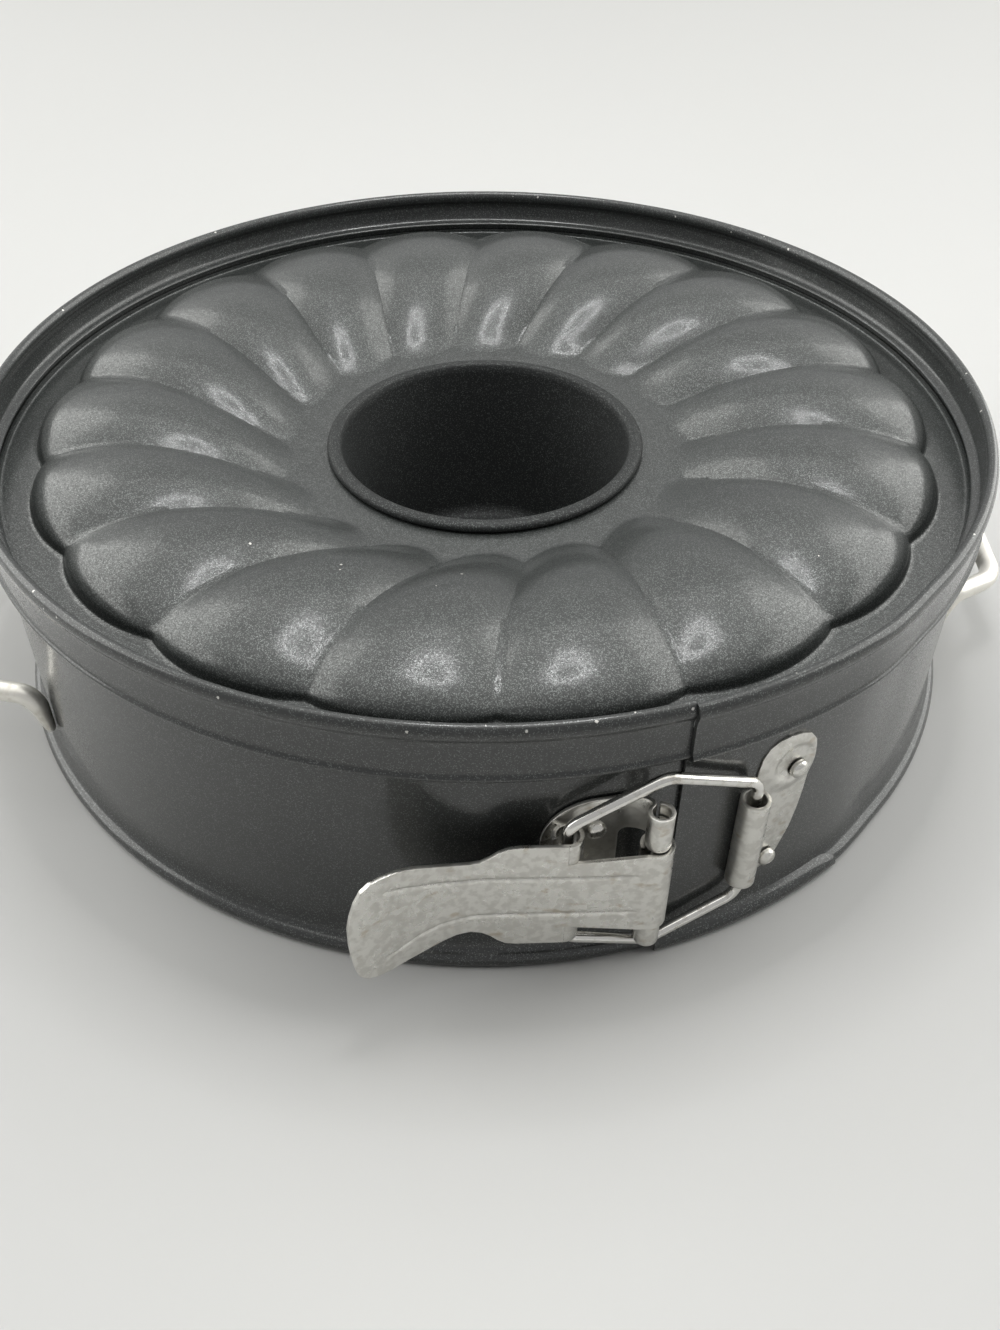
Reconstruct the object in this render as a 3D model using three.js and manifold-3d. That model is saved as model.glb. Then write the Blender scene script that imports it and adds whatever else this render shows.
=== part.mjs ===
// Springform bundt pan, standing upside down on its open rim, with the fluted base on top.
// Millimetres, +Z up. Angles go round the pan from the front (-Y) towards +X.
import * as THREE from 'three';
import { mergeVertices } from 'three/addons/utils/BufferGeometryUtils.js';
import Module from 'manifold-3d';

// Ring band
const WALL_RADIUS = 119.5;
const SHEET = 0.7;
const PAN_HEIGHT = 70.2;
const RIM_REACH = 3.3;
const RIM_ROLL = 3.9;
const RIM_FLARE = 7;
const HEM_REACH = 2.5;
const HEM_ROLL = 3.6;
const SKIRT_HEIGHT = 11;
const SKIRT_STEP = 1.6;
const LIP_DEPTH = 1.2;
const LIP_HEIGHT = 2.9;
const SEAM_ANGLE = 18;
const LAP_END_ANGLE = 40;
const LAP_RAMP = 7;
const BAND_STEP = 7.5;
const LAP_STEP = 3.5;
const TONGUE_INSET = 2;

// Clearances
const FIT_GAP = 0.3;
const LAP_GAP = 0.4;
const BASE_SIDE_GAP = 0.6;

// Fluted base
const LOBES = 18;
const STEPS_PER_LOBE = 6;
const BASE_EDGE_RISE = 0.9;
const BASE_EDGE_ROUND = 0.6;
const FLANGE_WIDTH = 7;
const RING_DROP = 5.6;
const LOBE_HEIGHT = 14.4;
const VALLEY_HEIGHT = 11.2;
const LOBE_TIP_RADIUS = 47.3;
const LOBE_TURN = 1.1;
const LOBE_SWIRL = 10;
const CUSP_DEPTH = 2.8;
const TIP_CUSP_DEPTH = 3.6;
const LOBE_ARCH = 2.2;

// Centre tube
const TUBE_RADIUS = 36.3;
const TUBE_TAPER = 5.8;
const TUBE_FLOOR = 9;
const TUBE_RIM_WIDTH = 3.8;
const TUBE_RIM_HEIGHT = 1.4;
const TUBE_CRIMP = 1.6;
const TUBE_FOOT_ROUND = 3.6;
const TUBE_SIDES = 30;

// Latch
const LATCH_HEIGHT = 28;
const PLATE_SHEET = 0.8;
const PIVOT_ANGLE = 15;
const PIVOT_STANDOFF = 6.4;
const PIN_RADIUS = 1.5;
const KNUCKLE_RISE = 20.4;
const KNUCKLE_DROP = 18.2;
const LEVER_BARREL_HALF = 11.2;
const BASE_PLATE_LENGTH = 21.2;
const BASE_PLATE_CORNER = 11;
const BASE_PLATE_STEP = 3.4;
const BASE_RIVET_SETBACK = 10.4;
const BASE_RIVET_INSET = 8.4;
const PLATE_SEGMENT = 3;

// Lever
const LEVER_TUCK = 13.5;
const LUG_SETBACK = 17.3;
const LUG_LENGTH = 13;
const LUG_HALF = 14.8;
const LUG_CORNER = 2;
const NECK_HALF = 9.6;
const WAIST_HALF = 9.5;
const WAIST_SETBACK = 36;
const TAB_RISE = 13.2;
const TAB_DROP = 15.2;
const TAB_BOW_START = 31;
const TAB_BOW_RADIUS = 42;
const TAB_BOW_ANGLE = 28;
const TAB_TAIL = 10.5;
const TAB_UPPER_CORNER = 12;
const TAB_LOWER_CORNER = 6;

// Wire bail
const BAIL_WIRE = 2.4;
const BAIL_UPPER_RISE = 27;
const BAIL_LOWER_DROP = 22.6;
const BAIL_KINK = 0.53;
const BAIL_BOW = 2;
const BAIL_SHOULDER = 17;
const BAIL_BEND = 3;
const BAIL_LEAD = 2;

// Catch plate
const BARREL_ANGLE = 25.4;
const BARREL_HALF = 12.2;
const CATCH_WIDTH = 13.5;
const CATCH_FOOT = 16.5;
const CATCH_LOBE_RADIUS = 7.3;
const CATCH_LOBE_RISE = 15.2;
const CATCH_LOBE_SETBACK = 9.6;
const CATCH_CORNER = 4;
const CATCH_NOTCH = 2;
const EAR_RIVET_SETBACK = 1.8;
const EAR_RIVET_DROP = 1.6;
const CATCH_RIVET_SETBACK = 9;
const CATCH_RIVET_DROP = 12.4;

// Rivets
const RIVET_SHANK = 1.2;
const RIVET_HEAD = 2.1;
const RIVET_DOME = 1.3;
const RIVET_SIDES = 12;

// Handles
const HANDLE_ANGLE = 99;
const HANDLE_WIRE = 5;
const HANDLE_HEIGHT = 20;
const HANDLE_FOOT = 10.5;
const HANDLE_HALF = 42;
const HANDLE_SHOULDER = 36;
const HANDLE_FLAT = 14.4;
const HANDLE_REACH = 16;
const HANDLE_CROWN = 4.5;
const HANDLE_BEND = 7;

const ROUND_SIDES = 16;
const WIRE_SIDES = 8;
const BAIL_STEPS = 48;
const HANDLE_STEPS = 34;
const COATED = { color: 0x35383a, roughness: 0.45, metalness: 0.6 };
const PLATED = { color: 0xb9b6ae, roughness: 0.3, metalness: 1 };
const WIRE = { color: 0xc4c0b6, roughness: 0.25, metalness: 1 };

// Sizes that follow
const WALL_INSIDE = WALL_RADIUS - SHEET;
const LAP_SHIFT = SHEET + LAP_GAP;
const SHELF = PAN_HEIGHT - SKIRT_HEIGHT;
const BASE_RADIUS = WALL_INSIDE - BASE_SIDE_GAP;
const BASE_EDGE_TOP = SHELF - FIT_GAP;
const FLANGE_TOP = BASE_EDGE_TOP - BASE_EDGE_RISE;
const RING_FLOOR = FLANGE_TOP - RING_DROP;
const BORE_RADIUS = PIN_RADIUS + FIT_GAP;
const KNUCKLE_RADIUS = BORE_RADIUS + PLATE_SHEET;
const WIRE_BORE = BAIL_WIRE / 2 + FIT_GAP;
const CURL_RADIUS = WIRE_BORE + PLATE_SHEET;
const BASE_PLATE_INSIDE = WALL_RADIUS + FIT_GAP;
const CATCH_INSIDE = WALL_RADIUS + LAP_SHIFT + FIT_GAP;
const BARREL_RADIUS = CATCH_INSIDE + CURL_RADIUS;
const RIVET_HOLE = RIVET_SHANK + FIT_GAP;

const wasm = await Module();
wasm.setup();

const radians = THREE.MathUtils.degToRad;
const degrees = THREE.MathUtils.radToDeg;

// A point of the plan at an angle from the front and a radius.
function onPlan(angle, radius) {
  return new THREE.Vector2(radius * Math.sin(radians(angle)), -radius * Math.cos(radians(angle)));
}

// The angle that a length takes up on the wall.
function wallAngle(length) {
  return degrees(length / WALL_RADIUS);
}

function solidOf(geometry) {
  const bare = geometry.clone();
  bare.deleteAttribute('normal');
  bare.deleteAttribute('uv');
  const merged = mergeVertices(bare, 1e-5);
  const vertProperties = new Float32Array(merged.attributes.position.array);
  const triVerts = new Uint32Array(merged.index.array);
  return new wasm.Manifold(new wasm.Mesh({ numProp: 3, vertProperties, triVerts }));
}

function geometryOf(solid) {
  const mesh = solid.getMesh();
  const geometry = new THREE.BufferGeometry();
  geometry.setAttribute('position', new THREE.BufferAttribute(mesh.vertProperties, 3));
  geometry.setIndex(new THREE.BufferAttribute(mesh.triVerts, 1));
  geometry.computeVertexNormals();
  return geometry;
}

function joined(first, ...rest) {
  const whole = rest.reduce((sum, next) => sum.add(solidOf(next)), solidOf(first));
  return geometryOf(whole);
}

function cut(geometry, ...tools) {
  const whole = tools.reduce((sum, tool) => sum.subtract(solidOf(tool)), solidOf(geometry));
  return geometryOf(whole);
}

function common(geometry, tool) {
  return geometryOf(solidOf(geometry).intersect(solidOf(tool)));
}

function piece(name, geometry, look) {
  const mesh = new THREE.Mesh(geometry, new THREE.MeshStandardMaterial(look));
  mesh.name = name;
  return mesh;
}

// A plan outline raised between two heights.
function raised(outline, low, high) {
  const shape = outline instanceof THREE.Shape ? outline : new THREE.Shape(outline);
  const geometry = new THREE.ExtrudeGeometry(shape, {
    depth: high - low,
    bevelEnabled: false,
    curveSegments: ROUND_SIDES / 4,
  });
  return geometry.translate(0, 0, low);
}

// A side outline (along, height) pushed outwards, from one depth to another.
function pushedOut(shape, from, to) {
  const geometry = new THREE.ExtrudeGeometry(shape, {
    depth: to - from,
    bevelEnabled: false,
    curveSegments: ROUND_SIDES / 4,
  });
  return geometry.rotateX(Math.PI / 2).translate(0, -from, 0);
}

// A rolled barrel round a plan point.
function barrel(centre, outer, inner, low, high) {
  const ring = new THREE.Shape();
  ring.absarc(0, 0, outer, 0, 2 * Math.PI);
  const bore = new THREE.Path();
  bore.absarc(0, 0, inner, 0, 2 * Math.PI, true);
  ring.holes.push(bore);
  const geometry = new THREE.ExtrudeGeometry(ring, {
    depth: high - low,
    bevelEnabled: false,
    curveSegments: ROUND_SIDES / 2,
  });
  return geometry.translate(centre.x, centre.y, low);
}

// The closed outline of a sheet that follows a line of plan points, with the sheet on its left.
function strip(line, thickness) {
  const left = line.map((point, index) => {
    const before = line[Math.max(index - 1, 0)];
    const after = line[Math.min(index + 1, line.length - 1)];
    const along = after.clone().sub(before).normalize();
    return new THREE.Vector2(point.x - along.y * thickness, point.y + along.x * thickness);
  });
  return [...line, ...left.reverse()];
}

// A rectangle whose corners have their own radii: lower left, lower right, upper right, upper left.
function roundedBox(left, right, low, high, corners) {
  const [lowLeft, lowRight, highRight, highLeft] = corners;
  const shape = new THREE.Shape();
  shape.moveTo(left + lowLeft, low);
  shape.lineTo(right - lowRight, low);
  if (lowRight) shape.absarc(right - lowRight, low + lowRight, lowRight, -Math.PI / 2, 0);
  shape.lineTo(right, high - highRight);
  if (highRight) shape.absarc(right - highRight, high - highRight, highRight, 0, Math.PI / 2);
  shape.lineTo(left + highLeft, high);
  if (highLeft) shape.absarc(left + highLeft, high - highLeft, highLeft, Math.PI / 2, Math.PI);
  shape.lineTo(left, low + lowLeft);
  if (lowLeft) shape.absarc(left + lowLeft, low + lowLeft, lowLeft, Math.PI, 1.5 * Math.PI);
  return shape;
}

// A path of straight runs with rounded bends.
function bentPath(points, bend) {
  const path = new THREE.CurvePath();
  let start = points[0];
  for (let index = 1; index < points.length - 1; index += 1) {
    const corner = points[index];
    const back = points[index - 1].clone().sub(corner);
    const ahead = points[index + 1].clone().sub(corner);
    const reach = Math.min(bend, back.length() * 0.45, ahead.length() * 0.45);
    const entry = corner.clone().add(back.setLength(reach));
    const exit = corner.clone().add(ahead.setLength(reach));
    path.add(new THREE.LineCurve3(start, entry));
    path.add(new THREE.QuadraticBezierCurve3(entry, corner, exit));
    start = exit;
  }
  path.add(new THREE.LineCurve3(start, points[points.length - 1]));
  return path;
}

function wire(path, diameter, steps) {
  const section = new THREE.Shape();
  section.absarc(0, 0, diameter / 2, 0, 2 * Math.PI);
  return new THREE.ExtrudeGeometry(section, {
    extrudePath: path,
    steps,
    curveSegments: WIRE_SIDES / 2,
    bevelEnabled: false,
  });
}

// A closed body from rings of points: rings follow one another, and the first and last are capped.
function loft(rings) {
  const count = rings[0].length;
  const positions = rings.flat().flatMap((point) => [point.x, point.y, point.z]);
  const faces = [];
  for (let ring = 0; ring < rings.length - 1; ring += 1) {
    for (let index = 0; index < count; index += 1) {
      const next = (index + 1) % count;
      const a = ring * count + index;
      const b = ring * count + next;
      faces.push(a, a + count, b, b, a + count, b + count);
    }
  }
  const outline = rings[0].map((point) => new THREE.Vector2(Math.hypot(point.x, point.y), point.z));
  const caps = THREE.ShapeUtils.triangulateShape(outline, []);
  const last = (rings.length - 1) * count;
  for (const [a, b, c] of caps) {
    faces.push(a, b, c);
    faces.push(last + a, last + c, last + b);
  }
  const geometry = new THREE.BufferGeometry();
  geometry.setAttribute('position', new THREE.Float32BufferAttribute(positions, 3));
  geometry.setIndex(faces);
  geometry.computeVertexNormals();
  return geometry;
}

// The band's section, from the open rim up its outside, over the hem and down its inside.
function bandSection() {
  const wall = WALL_RADIUS;
  const inside = WALL_INSIDE;
  const top = PAN_HEIGHT;
  const skirt = wall + HEM_REACH - SHEET;
  const rim = (share, height) => [wall + RIM_REACH * share, RIM_ROLL * height];
  const flare = (from, share, height) => [from + RIM_REACH * share, RIM_ROLL + RIM_FLARE * height];
  const step = (share, height) => [wall + (HEM_REACH - SHEET) * share, SHELF + SKIRT_STEP * height];
  const hem = (share, depth) => [wall + HEM_REACH - HEM_ROLL * share, top - HEM_ROLL * depth];
  const lip = (share, height) => [inside - LIP_DEPTH * share, SHELF + LIP_HEIGHT * height];
  const outside = [
    rim(0.33, 0), rim(0.73, 0), rim(1, 0.26), rim(1, 0.62), rim(0.76, 0.9), rim(0.45, 1),
    flare(wall, 0.18, 0.27), flare(wall, 0.06, 0.57), flare(wall, 0, 1),
    step(0, -1), step(0.22, -0.5), step(0.89, 0), step(1.05, 0.62),
    [skirt, top - HEM_ROLL * 1.11], hem(0.03, 0.8), hem(0, 0.5), hem(0.14, 0.15), hem(0.39, 0),
  ];
  const inner = [
    hem(0.67, 0.12), hem(0.8, 0.42), hem(0.75, 0.78), [skirt - SHEET, top - HEM_ROLL * 1.11],
    [skirt - SHEET, SHELF + LIP_HEIGHT], [skirt - SHEET - LIP_DEPTH * 0.83, SHELF + LIP_HEIGHT * 0.72],
    lip(0.83, 0.59), lip(1, 0.45), lip(0.83, 0.31), lip(0, 0.2),
    flare(inside, 0, 1), flare(inside, 0.06, 0.57), flare(inside, 0.18, 0.23),
    [inside + RIM_REACH * 0.27, RIM_ROLL * 0.8], rim(0.12, 0.3),
  ];
  return [...outside, ...inner];
}

// The plain tongue of the band's left end, which slides inside the right end.
function tongueSection() {
  const low = RIM_ROLL + RIM_FLARE * 0.64;
  const high = SHELF - TONGUE_INSET;
  return [[WALL_RADIUS, low], [WALL_RADIUS, high], [WALL_INSIDE, high], [WALL_INSIDE, low]];
}

// Angles from one to another, evenly spaced by no more than a step.
function stations(from, to, step) {
  const count = Math.ceil((to - from) / step);
  return Array.from({ length: count + 1 }, (_, index) => from + ((to - from) * index) / count);
}

// A section carried round the pan through the angles given, moved out by what shift gives.
function sweep(section, angles, shift) {
  const rings = [];
  for (const angle of angles) {
    const ring = section.map(([radius, height]) => {
      const spot = onPlan(angle, radius + shift(angle));
      return new THREE.Vector3(spot.x, spot.y, height);
    });
    rings.push(ring);
  }
  return loft(rings);
}

// A pin for a rivet hole, pointing outwards at an angle and a height.
function holeTool(angle, height) {
  const reach = 2 * (PIVOT_STANDOFF + SHEET);
  const tool = new THREE.CylinderGeometry(RIVET_HOLE, RIVET_HOLE, reach, ROUND_SIDES);
  tool.translate(0, -WALL_RADIUS, height);
  return tool.rotateZ(radians(angle));
}

const baseRivetAngle = PIVOT_ANGLE - wallAngle(BASE_RIVET_SETBACK);
const catchUpperAngle = BARREL_ANGLE + wallAngle(CATCH_LOBE_SETBACK + EAR_RIVET_SETBACK);
const catchLowerAngle = BARREL_ANGLE + wallAngle(CATCH_RIVET_SETBACK);
const baseRivetRise = KNUCKLE_RISE - BASE_RIVET_INSET;
const baseRivetDrop = KNUCKLE_DROP - BASE_RIVET_INSET;
const earRivetRise = CATCH_LOBE_RISE - EAR_RIVET_DROP;
const rivets = [
  { name: 'latch_base_rivet_upper', angle: baseRivetAngle, height: LATCH_HEIGHT + baseRivetRise },
  { name: 'latch_base_rivet_lower', angle: baseRivetAngle, height: LATCH_HEIGHT - baseRivetDrop },
  { name: 'catch_rivet_upper', angle: catchUpperAngle, height: LATCH_HEIGHT + earRivetRise },
  { name: 'catch_rivet_lower', angle: catchLowerAngle, height: LATCH_HEIGHT - CATCH_RIVET_DROP },
];
for (const rivet of rivets) {
  const onCatch = rivet.name.startsWith('catch');
  rivet.inside = onCatch ? CATCH_INSIDE - FIT_GAP - SHEET : WALL_INSIDE;
  rivet.seat = (onCatch ? CATCH_INSIDE : BASE_PLATE_INSIDE) + PLATE_SHEET;
}
const holesOf = (prefix) => rivets
  .filter((rivet) => rivet.name.startsWith(prefix))
  .map((rivet) => holeTool(rivet.angle, rivet.height));

// The band's two halves part at the back by one fit gap.
const backAngle = 180 - wallAngle(FIT_GAP / 2);
const seamGap = wallAngle(FIT_GAP);

function ringBandLeft() {
  const body = sweep(bandSection(), stations(-backAngle, SEAM_ANGLE - seamGap, BAND_STEP), () => 0);
  const tongueFrom = SEAM_ANGLE - seamGap - BAND_STEP / 2;
  const tongue = sweep(tongueSection(), stations(tongueFrom, LAP_END_ANGLE, LAP_STEP), () => 0);
  return piece('ring_band_left', cut(joined(body, tongue), ...holesOf('latch_base')), COATED);
}

function lapShift(angle) {
  const along = THREE.MathUtils.clamp((angle - LAP_END_ANGLE) / LAP_RAMP, 0, 1);
  return LAP_SHIFT * (1 - along);
}

function ringBandRight() {
  const lapEnd = LAP_END_ANGLE + LAP_RAMP;
  const lap = stations(SEAM_ANGLE, lapEnd, LAP_STEP);
  const rest = stations(lapEnd, backAngle, BAND_STEP).slice(1);
  const body = sweep(bandSection(), [...lap, ...rest], lapShift);
  return piece('ring_band_right', cut(body, ...holesOf('catch')), COATED);
}

// The base's top line at the crest of a lobe and at a valley, from the raised edge to the hole.
function baseLines() {
  const foot = BASE_RADIUS - FLANGE_WIDTH;
  const floor = RING_FLOOR;
  const tip = LOBE_TIP_RADIUS;
  const hole = TUBE_RADIUS + SHEET + BASE_SIDE_GAP;
  const run = foot - tip;
  const edge = [
    [BASE_RADIUS - SHEET, BASE_EDGE_TOP],
    [BASE_RADIUS - SHEET, FLANGE_TOP + BASE_EDGE_ROUND],
    [BASE_RADIUS - SHEET - BASE_EDGE_ROUND, FLANGE_TOP],
  ];
  const line = (height, stops) => stops.map(([share, rise]) => [tip + run * share, floor + height * rise]);
  const crest = line(LOBE_HEIGHT, [
    [0.98, 0.569], [0.945, 0.715], [0.897, 0.819], [0.825, 0.903], [0.731, 0.972], [0.637, 1],
    [0.52, 0.972], [0.402, 0.868], [0.285, 0.674], [0.167, 0.396], [0.066, 0.125], [0, 0.007],
  ]);
  const valley = line(VALLEY_HEIGHT, [
    [0.933, 0.661], [0.9, 0.777], [0.85, 0.875], [0.778, 0.946], [0.7, 0.991], [0.621, 1],
    [0.512, 0.938], [0.402, 0.795], [0.3, 0.598], [0.207, 0.366], [0.12, 0.134], [TIP_CUSP_DEPTH / run, 0.009],
  ]);
  const end = [[tip - TIP_CUSP_DEPTH, floor], [hole, floor]];
  return {
    crest: [...edge, [foot, FLANGE_TOP], ...crest, ...end],
    valley: [...edge, [foot - CUSP_DEPTH, FLANGE_TOP], ...valley, ...end],
  };
}

// The lobes bend sideways as they near the tube.
function swirl(radius) {
  const foot = BASE_RADIUS - FLANGE_WIDTH;
  const along = Math.max((foot - radius) / (foot - LOBE_TIP_RADIUS), 0);
  return LOBE_TURN + LOBE_SWIRL * along ** 2;
}

// A sheet formed over the lobes: the outer face and an inner face one sheet below it.
function flutedBase() {
  const { crest, valley } = baseLines();
  const count = LOBES * STEPS_PER_LOBE;
  const rows = crest.length;
  const pitch = 360 / LOBES;
  const spot = (angle, row) => {
    const phase = Math.abs(((((angle % pitch) + pitch) % pitch) / pitch) * 2 - 1);
    const rise = 1 - phase ** LOBE_ARCH;
    const radius = THREE.MathUtils.lerp(valley[row][0], crest[row][0], rise);
    const height = THREE.MathUtils.lerp(valley[row][1], crest[row][1], rise);
    const plan = onPlan(angle + swirl(radius), radius);
    return new THREE.Vector3(plan.x, plan.y, height);
  };
  const turn = pitch / STEPS_PER_LOBE;
  const below = (angle, row) => {
    const here = spot(angle, row);
    const inwards = spot(angle, Math.min(row + 1, rows - 1)).sub(spot(angle, Math.max(row - 1, 0)));
    const round = spot(angle + turn, row).sub(spot(angle - turn, row));
    const normal = round.cross(inwards).normalize();
    return here.addScaledVector(normal, -SHEET);
  };
  const positions = [];
  for (const face of [spot, below]) {
    for (let step = 0; step < count; step += 1) {
      for (let row = 0; row < rows; row += 1) positions.push(...face(step * turn, row).toArray());
    }
  }
  const under = count * rows;
  const faces = [];
  for (let step = 0; step < count; step += 1) {
    const here = step * rows;
    const next = ((step + 1) % count) * rows;
    for (let row = 0; row < rows - 1; row += 1) {
      const [a, b, c, d] = [here + row, next + row, next + row + 1, here + row + 1];
      faces.push(a, b, c, a, c, d);
      faces.push(under + a, under + c, under + b, under + a, under + d, under + c);
    }
    const last = rows - 1;
    faces.push(here, under + next, next, here, under + here, under + next);
    faces.push(here + last, next + last, under + next + last);
    faces.push(here + last, under + next + last, under + here + last);
  }
  const geometry = new THREE.BufferGeometry();
  geometry.setAttribute('position', new THREE.Float32BufferAttribute(positions, 3));
  geometry.setIndex(faces);
  geometry.computeVertexNormals();
  return piece('fluted_base', geometry, COATED);
}

function centreTube() {
  const under = RING_FLOOR - SHEET - FIT_GAP;
  const seat = RING_FLOOR + FIT_GAP;
  const neck = TUBE_RADIUS + SHEET;
  const foot = TUBE_RADIUS - TUBE_TAPER;
  const rim = TUBE_RADIUS + TUBE_RIM_WIDTH;
  const low = (inset, rise) => [foot - TUBE_FOOT_ROUND * inset, TUBE_FLOOR + TUBE_FOOT_ROUND * rise];
  const crimp = (share, drop) => [neck + TUBE_CRIMP * share, under - TUBE_CRIMP * drop];
  const curl = (inset, rise) => [rim - TUBE_RIM_WIDTH * inset, seat + TUBE_RIM_HEIGHT * rise];
  const outline = [
    [0, TUBE_FLOOR], low(0.83, 0), low(0.17, 0.28), [foot + SHEET, TUBE_FLOOR + TUBE_FOOT_ROUND],
    crimp(-0.19, 1.06), crimp(1, 0.56), crimp(1, 0.25), crimp(0, 0),
    [neck, seat], curl(0.1, 0), curl(0, 0.36), curl(0.13, 0.79), curl(0.63, 1), curl(0.92, 0.64),
    [TUBE_RADIUS, seat], low(0, 1.06), low(0.33, 0.44), [foot - TUBE_FOOT_ROUND * 0.83, TUBE_FLOOR + SHEET],
    [0, TUBE_FLOOR + SHEET],
  ];
  const profile = outline.map(([radius, height]) => new THREE.Vector2(radius, height));
  const geometry = new THREE.LatheGeometry(profile, TUBE_SIDES).rotateX(Math.PI / 2);
  return piece('centre_tube', geometry, COATED);
}

const pivot = onPlan(PIVOT_ANGLE, WALL_RADIUS + PIVOT_STANDOFF);
const catchAxis = onPlan(BARREL_ANGLE, BARREL_RADIUS);
const leverHeading = radians(180 + PIVOT_ANGLE - LEVER_TUCK);
const lugAxis = new THREE.Vector2(LUG_SETBACK, KNUCKLE_RADIUS - CURL_RADIUS)
  .rotateAround(new THREE.Vector2(), leverHeading)
  .add(pivot);

// The plate lies on the wall, steps out to the pivot and rolls into two knuckles.
function latchBasePlate() {
  const hub = new THREE.Vector2(0, -(WALL_RADIUS + PIVOT_STANDOFF));
  const middle = (KNUCKLE_RADIUS + BORE_RADIUS) / 2;
  const outer = BASE_PLATE_INSIDE + PLATE_SHEET;
  const stepAt = KNUCKLE_RADIUS + BASE_PLATE_STEP;
  const line = [];
  for (let reach = BASE_PLATE_LENGTH; reach > stepAt; reach -= PLATE_SEGMENT) {
    line.push(onPlan(-wallAngle(reach), outer));
  }
  line.push(onPlan(-wallAngle(stepAt), outer));
  line.push(new THREE.Vector2(hub.x - middle, hub.y + middle * 0.3));
  const plate = joined(
    raised(strip(line, PLATE_SHEET), -KNUCKLE_DROP, KNUCKLE_RISE),
    barrel(hub, KNUCKLE_RADIUS, BORE_RADIUS, -KNUCKLE_DROP, KNUCKLE_RISE),
  );
  const near = WALL_INSIDE;
  const far = WALL_RADIUS + PIVOT_STANDOFF + 2 * KNUCKLE_RADIUS;
  const right = 2 * KNUCKLE_RADIUS;
  const corners = [BASE_PLATE_CORNER, 0, 0, BASE_PLATE_CORNER];
  const outline = roundedBox(-BASE_PLATE_LENGTH, right, -KNUCKLE_DROP, KNUCKLE_RISE, corners);
  const openHalf = LEVER_BARREL_HALF + FIT_GAP;
  const window = roundedBox(-stepAt, right, -openHalf, openHalf, [BORE_RADIUS, 0, 0, BORE_RADIUS]);
  const shaped = cut(common(plate, pushedOut(outline, near, far)), pushedOut(window, near, far));
  shaped.translate(0, 0, LATCH_HEIGHT).rotateZ(radians(PIVOT_ANGLE));
  return piece('latch_base_plate', cut(shaped, ...holesOf('latch_base')), PLATED);
}

function leverPivotPin() {
  const length = KNUCKLE_RISE + KNUCKLE_DROP;
  const pin = new THREE.CylinderGeometry(PIN_RADIUS, PIN_RADIUS, length, ROUND_SIDES);
  const mesh = piece('lever_pivot_pin', pin.rotateX(Math.PI / 2), WIRE);
  mesh.position.set(pivot.x, pivot.y, LATCH_HEIGHT + (KNUCKLE_RISE - KNUCKLE_DROP) / 2);
  return mesh;
}

// The lever seen from outside: x runs from the pivot to the thumb tab, y is height.
function leverOutline() {
  const bow = radians(TAB_BOW_ANGLE);
  const tip = TAB_BOW_START + TAB_BOW_RADIUS * Math.sin(bow) + TAB_TAIL * Math.cos(bow);
  const lugEnd = LUG_SETBACK + LUG_LENGTH;
  const wide = tip - TAB_UPPER_CORNER;
  const back = -2 * KNUCKLE_RADIUS;
  const flank = (lugEnd + WAIST_SETBACK) / 2;
  const flankHalf = (LUG_HALF + WAIST_HALF) / 2;
  const spread = wide - WAIST_SETBACK;
  const shape = new THREE.Shape();
  shape.moveTo(back, -LEVER_BARREL_HALF);
  shape.lineTo(KNUCKLE_RADIUS, -LEVER_BARREL_HALF);
  shape.lineTo(LUG_SETBACK, -NECK_HALF);
  shape.lineTo(LUG_SETBACK, -LUG_HALF);
  shape.lineTo(lugEnd - LUG_CORNER, -LUG_HALF);
  shape.quadraticCurveTo(lugEnd, -LUG_HALF, flank, -flankHalf);
  shape.quadraticCurveTo(WAIST_SETBACK, -WAIST_HALF, WAIST_SETBACK + spread * 0.23, -WAIST_HALF * 1.04);
  shape.quadraticCurveTo(WAIST_SETBACK + spread * 0.55, -WAIST_HALF * 1.2, wide, -TAB_DROP * 0.94);
  shape.quadraticCurveTo(wide + LUG_CORNER, -TAB_DROP, tip - TAB_LOWER_CORNER, -TAB_DROP);
  shape.quadraticCurveTo(tip, -TAB_DROP, tip, -TAB_DROP + TAB_LOWER_CORNER);
  shape.lineTo(tip, TAB_RISE - TAB_UPPER_CORNER);
  shape.quadraticCurveTo(tip - TAB_UPPER_CORNER * 0.08, TAB_RISE * 0.86, wide, TAB_RISE);
  shape.quadraticCurveTo(wide - spread * 0.38, TAB_RISE, wide - spread * 0.62, WAIST_HALF * 1.16);
  shape.quadraticCurveTo(WAIST_SETBACK, WAIST_HALF, flank, flankHalf);
  shape.quadraticCurveTo(lugEnd, LUG_HALF, lugEnd - LUG_CORNER, LUG_HALF);
  shape.lineTo(LUG_SETBACK, LUG_HALF);
  shape.lineTo(LUG_SETBACK, NECK_HALF);
  shape.lineTo(KNUCKLE_RADIUS, LEVER_BARREL_HALF);
  shape.lineTo(back, LEVER_BARREL_HALF);
  return shape;
}

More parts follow.
